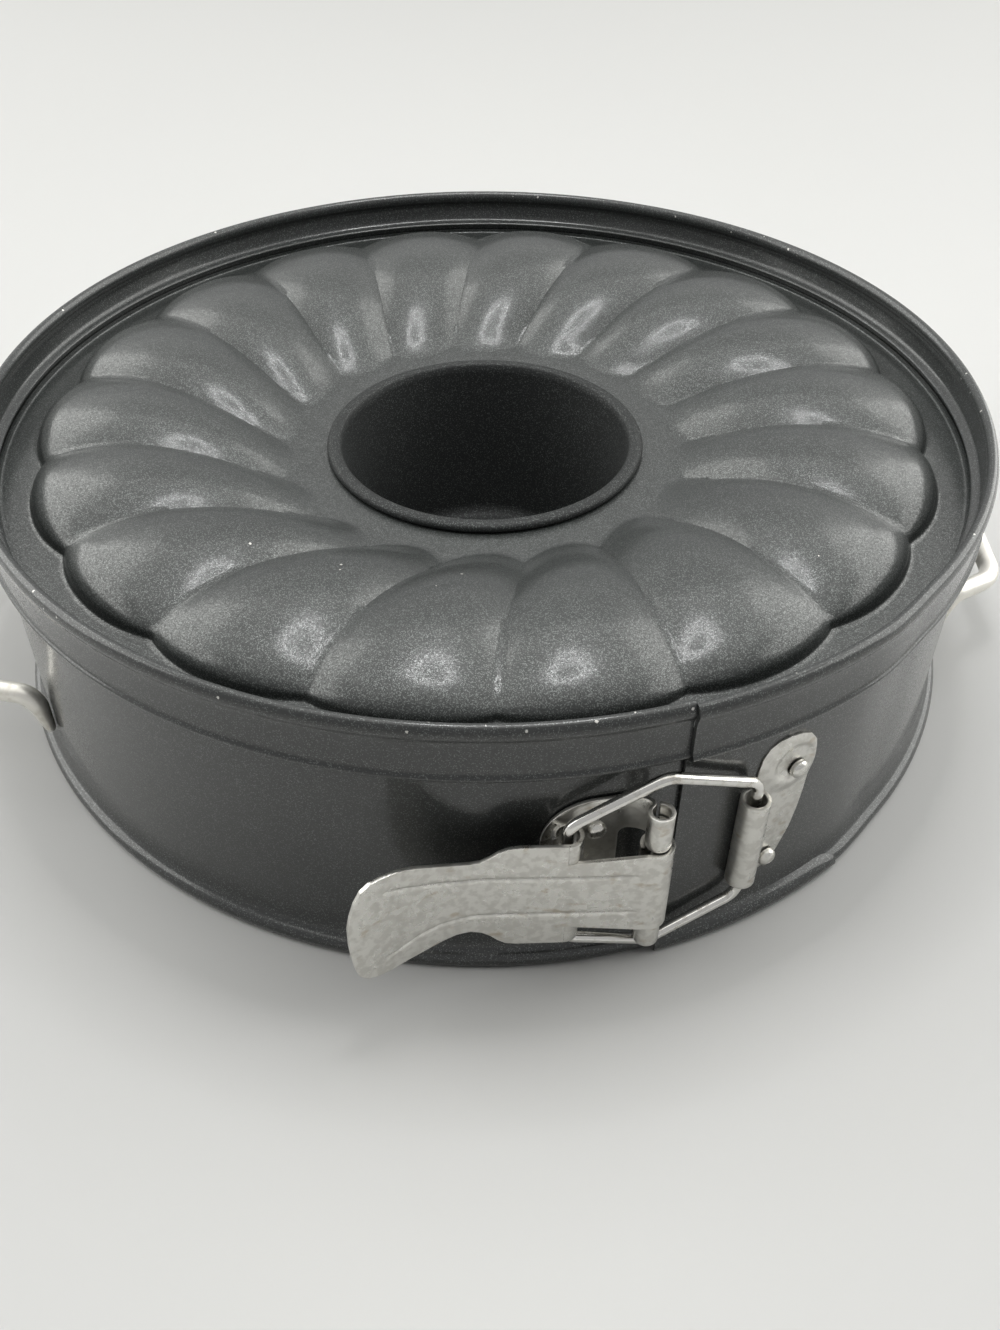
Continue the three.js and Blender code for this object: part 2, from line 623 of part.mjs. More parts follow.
// The lever lies straight from its barrel past the lugs, then its tab bows away from the wall.
function latchLever() {
  const inside = KNUCKLE_RADIUS - PLATE_SHEET;
  const line = [new THREE.Vector2(0, inside), new THREE.Vector2(LUG_SETBACK, inside)];
  const bowSteps = 5;
  const bowRadius = TAB_BOW_RADIUS + PLATE_SHEET;
  for (let index = 0; index <= bowSteps; index += 1) {
    const turn = (radians(TAB_BOW_ANGLE) * index) / bowSteps;
    line.push(new THREE.Vector2(
      TAB_BOW_START + bowRadius * Math.sin(turn),
      inside + bowRadius * (1 - Math.cos(turn)),
    ));
  }
  const bow = radians(TAB_BOW_ANGLE);
  const tail = line[line.length - 1].clone();
  line.push(tail.add(new THREE.Vector2(Math.cos(bow), Math.sin(bow)).multiplyScalar(1.1 * TAB_TAIL)));
  const sheet = raised(strip(line, PLATE_SHEET), -1.1 * TAB_DROP, 1.1 * TAB_DROP);
  const depth = TAB_BOW_RADIUS + TAB_TAIL;
  const bounds = pushedOut(leverOutline(), -depth, KNUCKLE_RADIUS);
  const plate = common(sheet, bounds);
  const hub = new THREE.Vector2(0, 0);
  const curl = new THREE.Vector2(LUG_SETBACK, KNUCKLE_RADIUS - CURL_RADIUS);
  const body = joined(
    plate,
    barrel(hub, KNUCKLE_RADIUS, BORE_RADIUS, -LEVER_BARREL_HALF, LEVER_BARREL_HALF),
    barrel(curl, CURL_RADIUS, WIRE_BORE, NECK_HALF, LUG_HALF),
    barrel(curl, CURL_RADIUS, WIRE_BORE, -LUG_HALF, -NECK_HALF),
  );
  const bore = new THREE.CylinderGeometry(BORE_RADIUS, BORE_RADIUS, 3 * LUG_HALF, 2 * ROUND_SIDES);
  const mesh = piece('latch_lever', cut(body, bore.rotateX(Math.PI / 2)), PLATED);
  mesh.position.set(pivot.x, pivot.y, LATCH_HEIGHT);
  mesh.rotation.z = leverHeading;
  return mesh;
}

// The plate on the right end: a rounded upper ear, a foot and a barrel for the bail.
function catchPlate() {
  const hub = new THREE.Vector2(0, -BARREL_RADIUS);
  const reachEnd = CATCH_LOBE_SETBACK + 1.2 * CATCH_LOBE_RADIUS;
  const outer = CATCH_INSIDE + PLATE_SHEET;
  const reaches = stations(0, reachEnd, PLATE_SEGMENT);
  const line = reaches.map((reach) => onPlan(wallAngle(reach), outer));
  const below = -1.1 * CATCH_FOOT;
  const above = CATCH_LOBE_RISE + 1.1 * CATCH_LOBE_RADIUS;
  const sheet = raised(strip(line, PLATE_SHEET), below, above);
  const near = WALL_INSIDE;
  const far = BARREL_RADIUS + 2 * CURL_RADIUS;
  const left = -CURL_RADIUS;
  const foot = roundedBox(left, CATCH_WIDTH, -CATCH_FOOT, CATCH_LOBE_RISE, [0, CATCH_CORNER, 0, 0]);
  const ear = new THREE.Shape();
  ear.absarc(CATCH_LOBE_SETBACK, CATCH_LOBE_RISE, CATCH_LOBE_RADIUS, 0, 2 * Math.PI);
  const shoulder = CATCH_LOBE_RISE * 1.06;
  const slope = new THREE.Shape();
  slope.moveTo(2 * left, BARREL_HALF);
  slope.lineTo(CATCH_LOBE_SETBACK - CATCH_LOBE_RADIUS, shoulder);
  slope.lineTo(2 * left, shoulder);
  const lower = new THREE.Shape();
  lower.moveTo(2 * left, -BARREL_HALF);
  lower.lineTo(2 * left, below);
  lower.lineTo(CURL_RADIUS + CATCH_NOTCH, below);
  lower.lineTo(CURL_RADIUS, -BARREL_HALF);
  const outline = cut(
    joined(pushedOut(foot, near, far), pushedOut(ear, near, far)),
    pushedOut(slope, near - SHEET, far + SHEET),
    pushedOut(lower, near - SHEET, far + SHEET),
  );
  const rolled = barrel(hub, CURL_RADIUS, WIRE_BORE, -BARREL_HALF, BARREL_HALF);
  const bore = new THREE.CylinderGeometry(WIRE_BORE, WIRE_BORE, 4 * BARREL_HALF, 2 * ROUND_SIDES);
  const clear = bore.rotateX(Math.PI / 2).translate(hub.x, hub.y, 0);
  const shaped = cut(joined(common(sheet, outline), rolled), clear);
  shaped.translate(0, 0, LATCH_HEIGHT).rotateZ(radians(BARREL_ANGLE));
  return piece('catch_plate', cut(shaped, ...holesOf('catch')), PLATED);
}

// The bail runs through the barrel, spreads to a kink on each arm and closes in on the lugs.
function wireBail() {
  const kink = catchAxis.clone().lerp(lugAxis, BAIL_KINK);
  kink.setLength(kink.length() + BAIL_BOW);
  const stop = LUG_HALF + FIT_GAP;
  const arm = (side, rise) => [
    new THREE.Vector3(lugAxis.x, lugAxis.y, LATCH_HEIGHT + side * stop),
    new THREE.Vector3(lugAxis.x, lugAxis.y, LATCH_HEIGHT + side * (stop + BAIL_LEAD)),
    new THREE.Vector3(kink.x, kink.y, LATCH_HEIGHT + side * rise),
    new THREE.Vector3(catchAxis.x, catchAxis.y, LATCH_HEIGHT + side * BAIL_SHOULDER),
  ];
  const upper = arm(1, BAIL_UPPER_RISE);
  const lower = arm(-1, BAIL_LOWER_DROP).reverse();
  const path = bentPath([...upper, ...lower], BAIL_BEND);
  return piece('wire_bail', wire(path, BAIL_WIRE, BAIL_STEPS), WIRE);
}

function rivetPiece({ name, angle, height, inside, seat }) {
  const lift = FIT_GAP / 2;
  const outline = [
    [0, inside], [RIVET_SHANK, inside], [RIVET_SHANK, seat + lift], [RIVET_HEAD, seat + lift],
    [RIVET_HEAD * 0.86, seat + lift + RIVET_DOME * 0.55], [RIVET_HEAD * 0.5, seat + lift + RIVET_DOME * 0.9],
    [0, seat + lift + RIVET_DOME],
  ];
  const profile = outline.map(([radius, reach]) => new THREE.Vector2(radius, reach));
  const mesh = piece(name, new THREE.LatheGeometry(profile, RIVET_SIDES).rotateZ(Math.PI), PLATED);
  mesh.position.z = height;
  mesh.rotation.z = radians(angle);
  return mesh;
}

// A loop of wire whose feet run down the wall, made at the front and turned into place.
function handle(name, angle) {
  const seat = WALL_RADIUS + FIT_GAP + HANDLE_WIRE / 2;
  const rooted = Math.sqrt(seat ** 2 - HANDLE_HALF ** 2);
  const crown = WALL_RADIUS + HANDLE_REACH;
  const side = (sign) => [
    new THREE.Vector3(sign * HANDLE_HALF, -rooted, HANDLE_HEIGHT - HANDLE_FOOT),
    new THREE.Vector3(sign * HANDLE_HALF, -rooted, HANDLE_HEIGHT),
    new THREE.Vector3(sign * HANDLE_SHOULDER, -(crown - HANDLE_CROWN), HANDLE_HEIGHT),
    new THREE.Vector3(sign * HANDLE_FLAT, -crown, HANDLE_HEIGHT),
  ];
  const path = bentPath([...side(1), ...side(-1).reverse()], HANDLE_BEND);
  const mesh = piece(name, wire(path, HANDLE_WIRE, HANDLE_STEPS), WIRE);
  mesh.rotation.z = radians(angle);
  return mesh;
}

const pan = new THREE.Group();
pan.add(flutedBase(), centreTube(), ringBandLeft(), ringBandRight());
pan.add(latchBasePlate(), leverPivotPin(), latchLever(), wireBail(), catchPlate());
pan.add(...rivets.map(rivetPiece));
pan.add(handle('handle_left', HANDLE_ANGLE - 180), handle('handle_right', HANDLE_ANGLE));

// The origin is the middle of the footprint, on the table.
const footprint = new THREE.Box3().setFromObject(pan, true);
pan.position.x = -(footprint.min.x + footprint.max.x) / 2;
pan.position.y = -(footprint.min.y + footprint.max.y) / 2;

export default pan;
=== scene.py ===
"""Looks of a springform bundt pan that stands upside down on its open rim."""

import logging
import math
from collections.abc import Callable, Sequence
from dataclasses import dataclass
from enum import Enum

import bmesh
import bpy
import numpy as np
from mathutils import Matrix, Vector
from mathutils.geometry import delaunay_2d_cdt


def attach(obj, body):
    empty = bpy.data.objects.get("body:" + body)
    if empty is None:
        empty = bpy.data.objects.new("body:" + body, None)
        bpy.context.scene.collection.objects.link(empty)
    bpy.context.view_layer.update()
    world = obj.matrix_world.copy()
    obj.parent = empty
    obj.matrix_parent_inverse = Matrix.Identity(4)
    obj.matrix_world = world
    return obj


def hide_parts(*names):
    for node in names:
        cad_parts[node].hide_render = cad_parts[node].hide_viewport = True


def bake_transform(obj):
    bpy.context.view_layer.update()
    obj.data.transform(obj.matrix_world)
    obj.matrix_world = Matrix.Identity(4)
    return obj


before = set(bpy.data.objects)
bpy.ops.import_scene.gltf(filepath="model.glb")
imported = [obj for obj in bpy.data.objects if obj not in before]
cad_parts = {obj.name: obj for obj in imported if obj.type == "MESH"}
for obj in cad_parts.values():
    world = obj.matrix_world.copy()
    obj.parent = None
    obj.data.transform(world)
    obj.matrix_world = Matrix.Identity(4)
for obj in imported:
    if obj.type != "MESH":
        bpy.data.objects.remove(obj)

logger = logging.getLogger("pan")

MM = 0.001
AXIS_SHIFT = 6.410930
WALL_RADIUS = 119.5
SHEET = 0.7
PAN_HEIGHT = 70.2
SHELF = 59.2
FIT_GAP = 0.3
LATCH_HEIGHT = 28.0
PLATE_SHEET = 0.8
KNOCKED = "knocked"
AIM = "outwards"
BACKGROUND = 0.5
FOLD = math.radians(50.0)

Colour = tuple[float, float, float, float]
Point2 = tuple[float, float]
Mapping = Callable[[np.ndarray, np.ndarray], np.ndarray]


class Body(Enum):
    """The bodies of the part that pieces ride on."""

    BASE = "base"
    RING = "ring"
    FREE_END = "ring_free_end"
    LEVER = "lever"
    BAIL = "bail"


class Slot(Enum):
    """The material slots of the part's record."""

    COATED = "coated_sheet"
    PLATED = "plated_steel"
    WIRE = "bright_wire"


def operation(name: str, turned: bool = False) -> Callable[["Value", "Value | float"], "Value"]:
    """Makes an operator's method, which adds a Math node.

    Args:
        name: Blender's name of the operation.
        turned: Whether the other operand comes first, as in 1 - mask.

    Returns:
        The method.
    """

    def method(self: "Value", other: "Value | float") -> "Value":
        """Adds the Math node of this value and another."""
        return self.graph.math(name, *((other, self) if turned else (self, other)))

    return method


class Value:
    """A number socket of a node tree that takes part in Python expressions."""

    def __init__(self, graph: "Graph", socket: bpy.types.NodeSocket) -> None:
        """Keeps the socket and the graph that its Math nodes go in."""
        self.graph = graph
        self.socket = socket

    __add__ = __radd__ = operation("ADD")
    __sub__, __rsub__ = operation("SUBTRACT"), operation("SUBTRACT", turned=True)
    __mul__ = __rmul__ = operation("MULTIPLY")
    __truediv__, __rtruediv__ = operation("DIVIDE"), operation("DIVIDE", turned=True)
    __pow__ = operation("POWER")
    above = operation("GREATER_THAN")
    below = operation("LESS_THAN")
    at_least = operation("MAXIMUM")

    def alone(self, name: str) -> "Value":
        """Adds a Math node of this value alone, such as its sine."""
        return self.graph.math(name, self)

    def ramp(self, low: float, high: float) -> "Value":
        """Goes smoothly from 0 at one number to 1 at another."""
        inputs = {"Value": self, "From Min": low, "From Max": high}
        made = self.graph.node("ShaderNodeMapRange", {"interpolation_type": "SMOOTHSTEP"}, inputs)
        return self.graph.value(made)


class Graph:
    """A node tree, of a material or of geometry, that nodes are added to."""

    def __init__(self, tree: bpy.types.NodeTree) -> None:
        """Keeps the tree."""
        self.tree = tree

    def node(self, kind: str, settings: dict | None = None, inputs: dict | None = None) -> bpy.types.Node:
        """Adds a node.

        Args:
            kind: The node's type.
            settings: Its properties; "curve" gives a float curve its points.
            inputs: A value, a socket or a Value for each socket, by name or number.

        Returns:
            The node.
        """
        made = self.tree.nodes.new(kind)
        for key, setting in (settings or {}).items():
            if key == "curve":
                self.set_curve(made.mapping, setting)
            else:
                setattr(made, key, setting)
        for key, given in (inputs or {}).items():
            self.feed(made.inputs[key], given)
        return made

    def feed(self, socket: bpy.types.NodeSocket, given: object) -> None:
        """Links or sets one input socket."""
        if isinstance(given, Value):
            given = given.socket
        if isinstance(given, bpy.types.NodeSocket):
            self.tree.links.new(given, socket)
        else:
            socket.default_value = given

    def value(self, made: bpy.types.Node, key: int | str = 0) -> Value:
        """Wraps a node's output for use in expressions."""
        return Value(self, made.outputs[key])

    def math(self, name: str, *operands: Value | float) -> Value:
        """Adds a Math node."""
        return self.value(self.node("ShaderNodeMath", {"operation": name}, dict(enumerate(operands))))

    @staticmethod
    def set_curve(mapping: bpy.types.CurveMapping, points: Sequence[Point2]) -> None:
        """Gives a float curve its points."""
        curve = mapping.curves[0]
        while len(curve.points) < len(points):
            curve.points.new(0.5, 0.5)
        for point, place in zip(curve.points, points):
            point.location = place
            point.handle_type = "AUTO_CLAMPED"
        mapping.update()

    def mixed(self, factor: Value, first: object, second: object) -> bpy.types.NodeSocket:
        """Mixes two colours.

        Args:
            factor: 0 gives the first colour and 1 the second.
            first: A colour or a socket.
            second: A colour or a socket.

        Returns:
            The mixed colour's socket.
        """
        made = self.node("ShaderNodeMix", {"data_type": "RGBA"}, {0: factor, 6: first, 7: second})
        return made.outputs[2]

    def seen(self) -> Value:
        """Is 1 for the rays that show the background: from the camera, off gloss and through glass."""
        rays = self.node("ShaderNodeLightPath")
        kinds = ("Camera", "Glossy", "Transmission")
        camera, gloss, through = (self.value(rays, f"Is {kind} Ray") for kind in kinds)
        return camera.at_least(gloss).at_least(through)


class Surface(Graph):
    """The node tree of a material, with what the finishes share."""

    def __init__(self, material: bpy.types.Material) -> None:
        """Empties the material's tree and adds its shader."""
        material.use_nodes = True
        super().__init__(material.node_tree)
        self.tree.nodes.clear()
        self.shader = self.node("ShaderNodeBsdfPrincipled")
        self.output = self.node("ShaderNodeOutputMaterial", None, {"Surface": self.shader.outputs[0]})
        self.place = self.node("ShaderNodeTexCoord").outputs["Object"]

    def settle(self, sockets: dict[str, object]) -> None:
        """Links or sets the shader's own sockets."""
        for key, given in sockets.items():
            self.feed(self.shader.inputs[key], given)

    def noise(self, scale: float, detail: float = 3.0, stretch: Sequence[float] | None = None) -> Value:
        """Adds a noise on Object coordinates.

        Args:
            scale: Cells to the metre.
            detail: Octaves.
            stretch: How much finer it is along each axis.

        Returns:
            The noise, about 0 to 1.
        """
        place = self.place
        if stretch is not None:
            scaled = {"Vector": place, "Scale": tuple(stretch)}
            place = self.node("ShaderNodeMapping", None, scaled).outputs[0]
        inputs = {"Vector": place, "Scale": scale, "Detail": detail}
        return self.value(self.node("ShaderNodeTexNoise", None, inputs))

    def cells(self, scale: float) -> tuple[Value, Value]:
        """Adds scattered cells on Object coordinates.

        Args:
            scale: Cells to the metre.

        Returns:
            The distance from the middle of a cell, and a number of each cell's own from 0 to 1.
        """
        made = self.node("ShaderNodeTexVoronoi", None, {"Vector": self.place, "Scale": scale})
        own = self.node("ShaderNodeSeparateColor", None, {0: made.outputs["Color"]})
        return self.value(made, "Distance"), self.value(own)

    def knocked(self) -> Value:
        """Gives the share of knocks that a piece's own attribute lets through."""
        return self.value(self.node("ShaderNodeAttribute", {"attribute_name": KNOCKED}), "Fac")

    def bump(self, relief: Value, strength: float, distance: float) -> None:
        """Feeds a relief to the shader's normal."""
        inputs = {"Strength": strength, "Distance": distance, "Height": relief}
        self.settle({"Normal": self.node("ShaderNodeBump", None, inputs).outputs[0]})


def shaded(colour: Colour, share: float) -> Colour:
    """Gives a darker shade of a colour."""
    return tuple(share * part for part in colour[:3]) + (1.0,)


@dataclass(frozen=True)
class Finish:
    """What a piece is covered with."""

    name: str

    def material(self) -> bpy.types.Material:
        """Makes the material.

        Returns:
            The material.
        """
        made = bpy.data.materials.new(self.name)
        self.paint(Surface(made))
        return made

    def paint(self, surface: Surface) -> None:
        """Adds the nodes, in each finish's own way."""
        raise NotImplementedError


@dataclass(frozen=True)
class CoatedSheet(Finish):
    """Satin non-stick coating: dark grey, with a fine metallic fleck and a few pale chips.

    Flakes, grain, clouds, wear and chips are given as cells to the metre.
    """

    colour: Colour = (0.0165, 0.0198, 0.0188, 1.0)
    fleck_colour: Colour = (0.44, 0.47, 0.455, 1.0)
    chip_colour: Colour = (0.62, 0.61, 0.58, 1.0)
    roughness: float = 0.5
    fleck_share: float = 0.2
    coat: float = 1.0
    coat_roughness: float = 0.2
    sparkle: float = 0.7
    chip_share: float = 0.0
    flakes: float = 6200.0
    grain: float = 2700.0
    clouds: float = 38.0
    wear: float = 9.0
    chips: float = 400.0
    chip_edge: float = 2500.0
    chip_patches: float = 26.0
    chip_size: float = 0.23
    bare_metal: float = 0.7

    def paint(self, surface: Surface) -> None:
        """Adds the coating's nodes.

        Args:
            surface: The material's tree.
        """
        _, flake = surface.cells(self.flakes)
        fleck = flake.above(1.0 - self.fleck_share)
        cloud = surface.noise(self.clouds)
        worn = surface.noise(self.wear, 5.0) - 0.5
        body = surface.mixed(cloud.ramp(0.3, 0.7), shaded(self.colour, 0.78), self.colour)
        colour = surface.mixed(fleck * 0.28, body, self.fleck_colour)
        metal = fleck * 0.6 + 0.1
        if self.chip_share:
            chip = self.knocks(surface)
            colour = surface.mixed(chip, colour, self.chip_colour)
            metal = metal * (1.0 - chip) + chip * self.bare_metal
        grain = surface.noise(self.grain, 1.0)
        sheen = grain.ramp(0.4, 0.62) * self.sparkle + (1.05 - self.sparkle) + worn * 0.2
        surface.settle({
            "Base Color": colour,
            "Metallic": metal,
            "Roughness": self.roughness + worn * 0.1 - fleck * 0.08 + (cloud - 0.5) * 0.05,
            "Coat Weight": sheen * self.coat,
            "Coat Roughness": self.coat_roughness,
        })
        surface.bump(grain * 0.7 + flake * 0.3, 0.34, 0.0001)

    def knocks(self, surface: Surface) -> Value:
        """Marks small knocks through the coating, where a piece has them.

        Args:
            surface: The material's tree.

        Returns:
            1 where the coating is knocked off.
        """
        away, own = surface.cells(self.chips)
        ragged = surface.noise(self.chip_edge, 2.0)
        patches = surface.noise(self.chip_patches, 2.0).above(0.5)
        chosen = own.above(1.0 - self.chip_share)
        return away.below(ragged * self.chip_size) * chosen * patches * surface.knocked()


@dataclass(frozen=True)
class PlatedSteel(Finish):
    """Nickel plated sheet: bright, mottled, with tan stains and fine rubbing marks.

    Mottle, patches, stains and rubs are given as cells to the metre.
    """

    colour: Colour = (0.69, 0.68, 0.643, 1.0)
    dull_colour: Colour = (0.515, 0.501, 0.467, 1.0)
    stain_colour: Colour = (0.40, 0.33, 0.24, 1.0)
    roughness: float = 0.24
    mottles: float = 560.0
    patches: float = 110.0
    stains: float = 240.0
    rubs: float = 160.0

    def paint(self, surface: Surface) -> None:
        """Adds the plating's nodes.

        Args:
            surface: The material's tree.
        """
        mottle = surface.noise(self.mottles, 6.0).ramp(0.42, 0.62)
        patch = surface.noise(self.patches, 6.0).ramp(0.46, 0.6)
        stain = surface.noise(self.stains, 5.0, (1.0, 1.0, 1.5)).ramp(0.6, 0.74)
        rub = surface.noise(self.rubs, 2.0, (1.0, 1.0, 14.0))
        colour = surface.mixed(mottle * 0.6, self.colour, self.dull_colour)
        surface.settle({
            "Base Color": surface.mixed(stain * 0.6, colour, self.stain_colour),
            "Metallic": 1.0,
            "Roughness": self.roughness + patch * 0.13 + mottle * 0.07 + rub * 0.04,
        })
        surface.bump(mottle * 0.7 + rub * 0.3, 0.1, 0.0001)


@dataclass(frozen=True)
class DrawnWire(Finish):
    """Bright drawn steel wire with faint draw lines and dull spots, given as cells to the metre."""

    colour: Colour = (0.72, 0.71, 0.68, 1.0)
    dull_colour: Colour = (0.50, 0.47, 0.42, 1.0)
    roughness: float = 0.1
    metal: float = 1.0
    spots: float = 420.0
    draw_lines: float = 900.0

    def paint(self, surface: Surface) -> None:
        """Adds the wire's nodes.

        Args:
            surface: The material's tree.
        """
        spot = surface.noise(self.spots, 4.0).ramp(0.5, 0.72)
        line = surface.noise(self.draw_lines, 2.0, (1.0, 1.0, 6.0))
        surface.settle({
            "Base Color": surface.mixed(spot * 0.7, self.colour, self.dull_colour),
            "Metallic": self.metal,
            "Roughness": self.roughness + spot * 0.16 + line * 0.08,
        })
        surface.bump(line, 0.07, 0.00008)


@dataclass(frozen=True)
class TableTop(Finish):
    """Pale matt table, which fades into the background between two distances in metres."""

    colour: Colour = (0.68, 0.68, 0.675, 1.0)
    roughness: float = 0.6
    clouds: float = 3.0
    fade: Point2 = (0.95, 1.6)

    def paint(self, surface: Surface) -> None:
        """Adds the table's nodes.

        Args:
            surface: The material's tree.
        """
        tint = surface.noise(self.clouds, 2.0)
        colour = surface.mixed(tint, self.colour, shaded(self.colour, 0.97))
        surface.settle({"Base Color": colour, "Roughness": self.roughness})
        away = surface.node("ShaderNodeVectorMath", {"operation": "LENGTH"}, {0: surface.place})
        far = surface.value(away, "Value").ramp(*self.fade) * surface.seen()
        pale = surface.node("ShaderNodeEmission", None, {"Strength": BACKGROUND}).outputs[0]
        shown = {0: far, 1: surface.shader.outputs[0], 2: pale}
        joined = surface.node("ShaderNodeMixShader", None, shown)
        surface.feed(surface.output.inputs["Surface"], joined.outputs[0])


def polar(angle: np.ndarray | float, radius: np.ndarray | float, height: np.ndarray | float) -> np.ndarray:
    """Places points round the pan's axis.

    Args:
        angle: Degrees from the front towards the right.
        radius: Millimetres from the axis.
        height: Millimetres over the table.

    Returns:
        Points in millimetres, the last axis x, y and z.
    """
    turn = np.radians(angle)
    spread = np.broadcast_arrays(radius * np.sin(turn), -radius * np.cos(turn), height)
    return np.stack(spread, axis=-1).astype(float)


def wall_angle(length: float) -> float:
    """Gives the angle that a length takes up on the wall, in degrees."""
    return math.degrees(length / WALL_RADIUS)


def on_wall(angle: float, side: np.ndarray, out: np.ndarray, up: np.ndarray) -> np.ndarray:
    """Places points of the latch.

    Args:
        angle: Degrees from the front towards the right.
        side: Millimetres to the right of that angle.
        out: Millimetres from the axis.
        up: Millimetres over the middle of the latch.

    Returns:
        Points in millimetres, the last axis x, y and z.
    """
    turn = math.radians(angle)
    x = side * math.cos(turn) + out * math.sin(turn)
    y = side * math.sin(turn) - out * math.cos(turn)
    return np.stack((x, y, LATCH_HEIGHT + up), axis=-1)


def in_frame(points: np.ndarray) -> np.ndarray:
    """Turns millimetres round the pan's axis into metres of the part's frame."""
    moved = np.asarray(points, float).reshape(-1, 3) * MM
    moved[:, 1] += AXIS_SHIFT * MM
    return moved


def rounded_off(outline: np.ndarray, passes: int = 2) -> np.ndarray:
    """Cuts the corners of a closed outline.

    Args:
        outline: The outline's points.
        passes: How often each corner is cut.

    Returns:
        The smoother outline.
    """
    for _ in range(passes):
        ahead = np.roll(outline, -1, axis=0)
        pairs = np.stack((0.75 * outline + 0.25 * ahead, 0.25 * outline + 0.75 * ahead), axis=1)
        outline = pairs.reshape(-1, 2)
    return outline


def placed(name: str, data: bpy.types.ID) -> bpy.types.Object:
    """Puts a new object in the scene."""
    made = bpy.data.objects.new(name, data)
    bpy.context.scene.collection.objects.link(made)
    return made


def mesh_object(
    name: str, points: np.ndarray, faces: Sequence[Sequence[int]], crease: float = 38.0
) -> bpy.types.Object:
    """Makes a smooth-shaded mesh object.

    Args:
        name: The object's name.
        points: Points in millimetres round the pan's axis.
        faces: Corner numbers of each face.
        crease: Edges that turn by more degrees than this stay sharp.

    Returns:
        The object, in the scene.
    """
    mesh = bpy.data.meshes.new(name)
    mesh.from_pydata(in_frame(points).tolist(), [], [tuple(face) for face in faces])
    mesh.validate()
    mesh.shade_smooth()
    mesh.set_sharp_from_angle(angle=math.radians(crease))
    return placed(name, mesh)


def grid_faces(rows: int, columns: int, closed: bool) -> list[tuple[int, int, int, int]]:
    """Lists the faces of a grid of points.

    Args:
        rows: Rows of points.
        columns: Points in a row.
        closed: Whether a row's last point joins its first.

    Returns:
        The corner numbers of each face.
    """
    faces = []
    for row in range(rows - 1):
        for column in range(columns if closed else columns - 1):
            here = row * columns + column
            side = row * columns + (column + 1) % columns
            faces.append((here, here + columns, side + columns, side))
    return faces


def turned(
    name: str, outline: np.ndarray, sides: int, middle: Sequence[float] = (0.0, 0.0, 0.0)
) -> bpy.types.Object:
    """Turns a section round an upright axis and closes its poles.

    Args:
        name: The object's name.
        outline: Radius and height of each point, from one pole to the other.
        sides: Steps round the axis.
        middle: Where the axis is, if it isn't the pan's own.

    Returns:
        The object.
    """
    angles = np.linspace(0, 360, sides, endpoint=False)
    points = polar(angles[None, :], outline[:, :1], outline[:, 1:]).reshape(-1, 3)
    last = (len(outline) - 1) * sides
    faces = [face[::-1] for face in grid_faces(len(outline), sides, True)]
    faces += [tuple(range(sides))[::-1], tuple(range(last, last + sides))]
    return mesh_object(name, points + np.array(middle), faces)


def thickened(shape: bpy.types.Object, sheet: float) -> None:
    """Gives a skin its thickness in millimetres, against the faces' normals."""
    skin = shape.modifiers.new("sheet", "SOLIDIFY")
    skin.thickness = sheet * MM
    skin.offset = -1.0


def baked(source: bpy.types.Object) -> bpy.types.Object:
    """Turns an object's modifiers into a plain mesh object of the same name.

    Args:
        source: The object, which is removed.

    Returns:
        The plain object.
    """
    bpy.context.view_layer.update()
    graph = bpy.context.evaluated_depsgraph_get()
    mesh = bpy.data.meshes.new_from_object(source.evaluated_get(graph), depsgraph=graph)
    name = source.name
    bpy.data.objects.remove(source)
    mesh.name = name
    return placed(name, mesh)


def with_tree(target: bpy.types.Object, tree: bpy.types.NodeTree, inputs: dict[str, object]) -> None:
    """Adds a Geometry Nodes modifier and sets its inputs by their identifiers.

    Args:
        target: The object.
        tree: The geometry tree.
        inputs: A value for each named input.
    """
    modifier = target.modifiers.new(tree.name, "NODES")
    modifier.node_group = tree
    for item in tree.interface.items_tree:
        if item.item_type == "SOCKET" and item.in_out == "INPUT" and item.name in inputs:
            modifier[item.identifier] = inputs[item.name]


class GeometryTree(Graph):
    """A Geometry Nodes tree with named inputs, which ends in one realised, dressed geometry."""

    def __init__(self, name: str, inputs: Sequence[tuple[str, str]]) -> None:
        """Makes the tree.

        Args:
            name: The tree's name.
            inputs: The name and the socket type of each input after the geometry.
        """
        super().__init__(bpy.data.node_groups.new(name, "GeometryNodeTree"))
        sockets = self.tree.interface
        sockets.new_socket("Geometry", in_out="INPUT", socket_type="NodeSocketGeometry")
        for label, kind in inputs:
            sockets.new_socket(label, in_out="INPUT", socket_type=kind)
        sockets.new_socket("Material", in_out="INPUT", socket_type="NodeSocketMaterial")
        sockets.new_socket("Geometry", in_out="OUTPUT", socket_type="NodeSocketGeometry")
        self.given = self.node("NodeGroupInput")

    def input(self, label: str) -> Value:
        """Gives one of the tree's inputs."""
        return self.value(self.given, label)

    def end(self, geometry: bpy.types.NodeSocket) -> bpy.types.NodeTree:
        """Shades the geometry smooth, realises it, dresses it and closes the tree.

        Args:
            geometry: What the tree has made.

        Returns:
            The finished tree.
        """
        smooth = self.node("GeometryNodeSetShadeSmooth", None, {"Geometry": geometry})
        real = self.node("GeometryNodeRealizeInstances", None, {"Geometry": smooth.outputs[0]})
        dress = {"Geometry": real.outputs[0], "Material": self.given.outputs["Material"]}
        dressed = self.node("GeometryNodeSetMaterial", None, dress)
        self.node("NodeGroupOutput", None, {"Geometry": dressed.outputs[0]})
        return self.tree


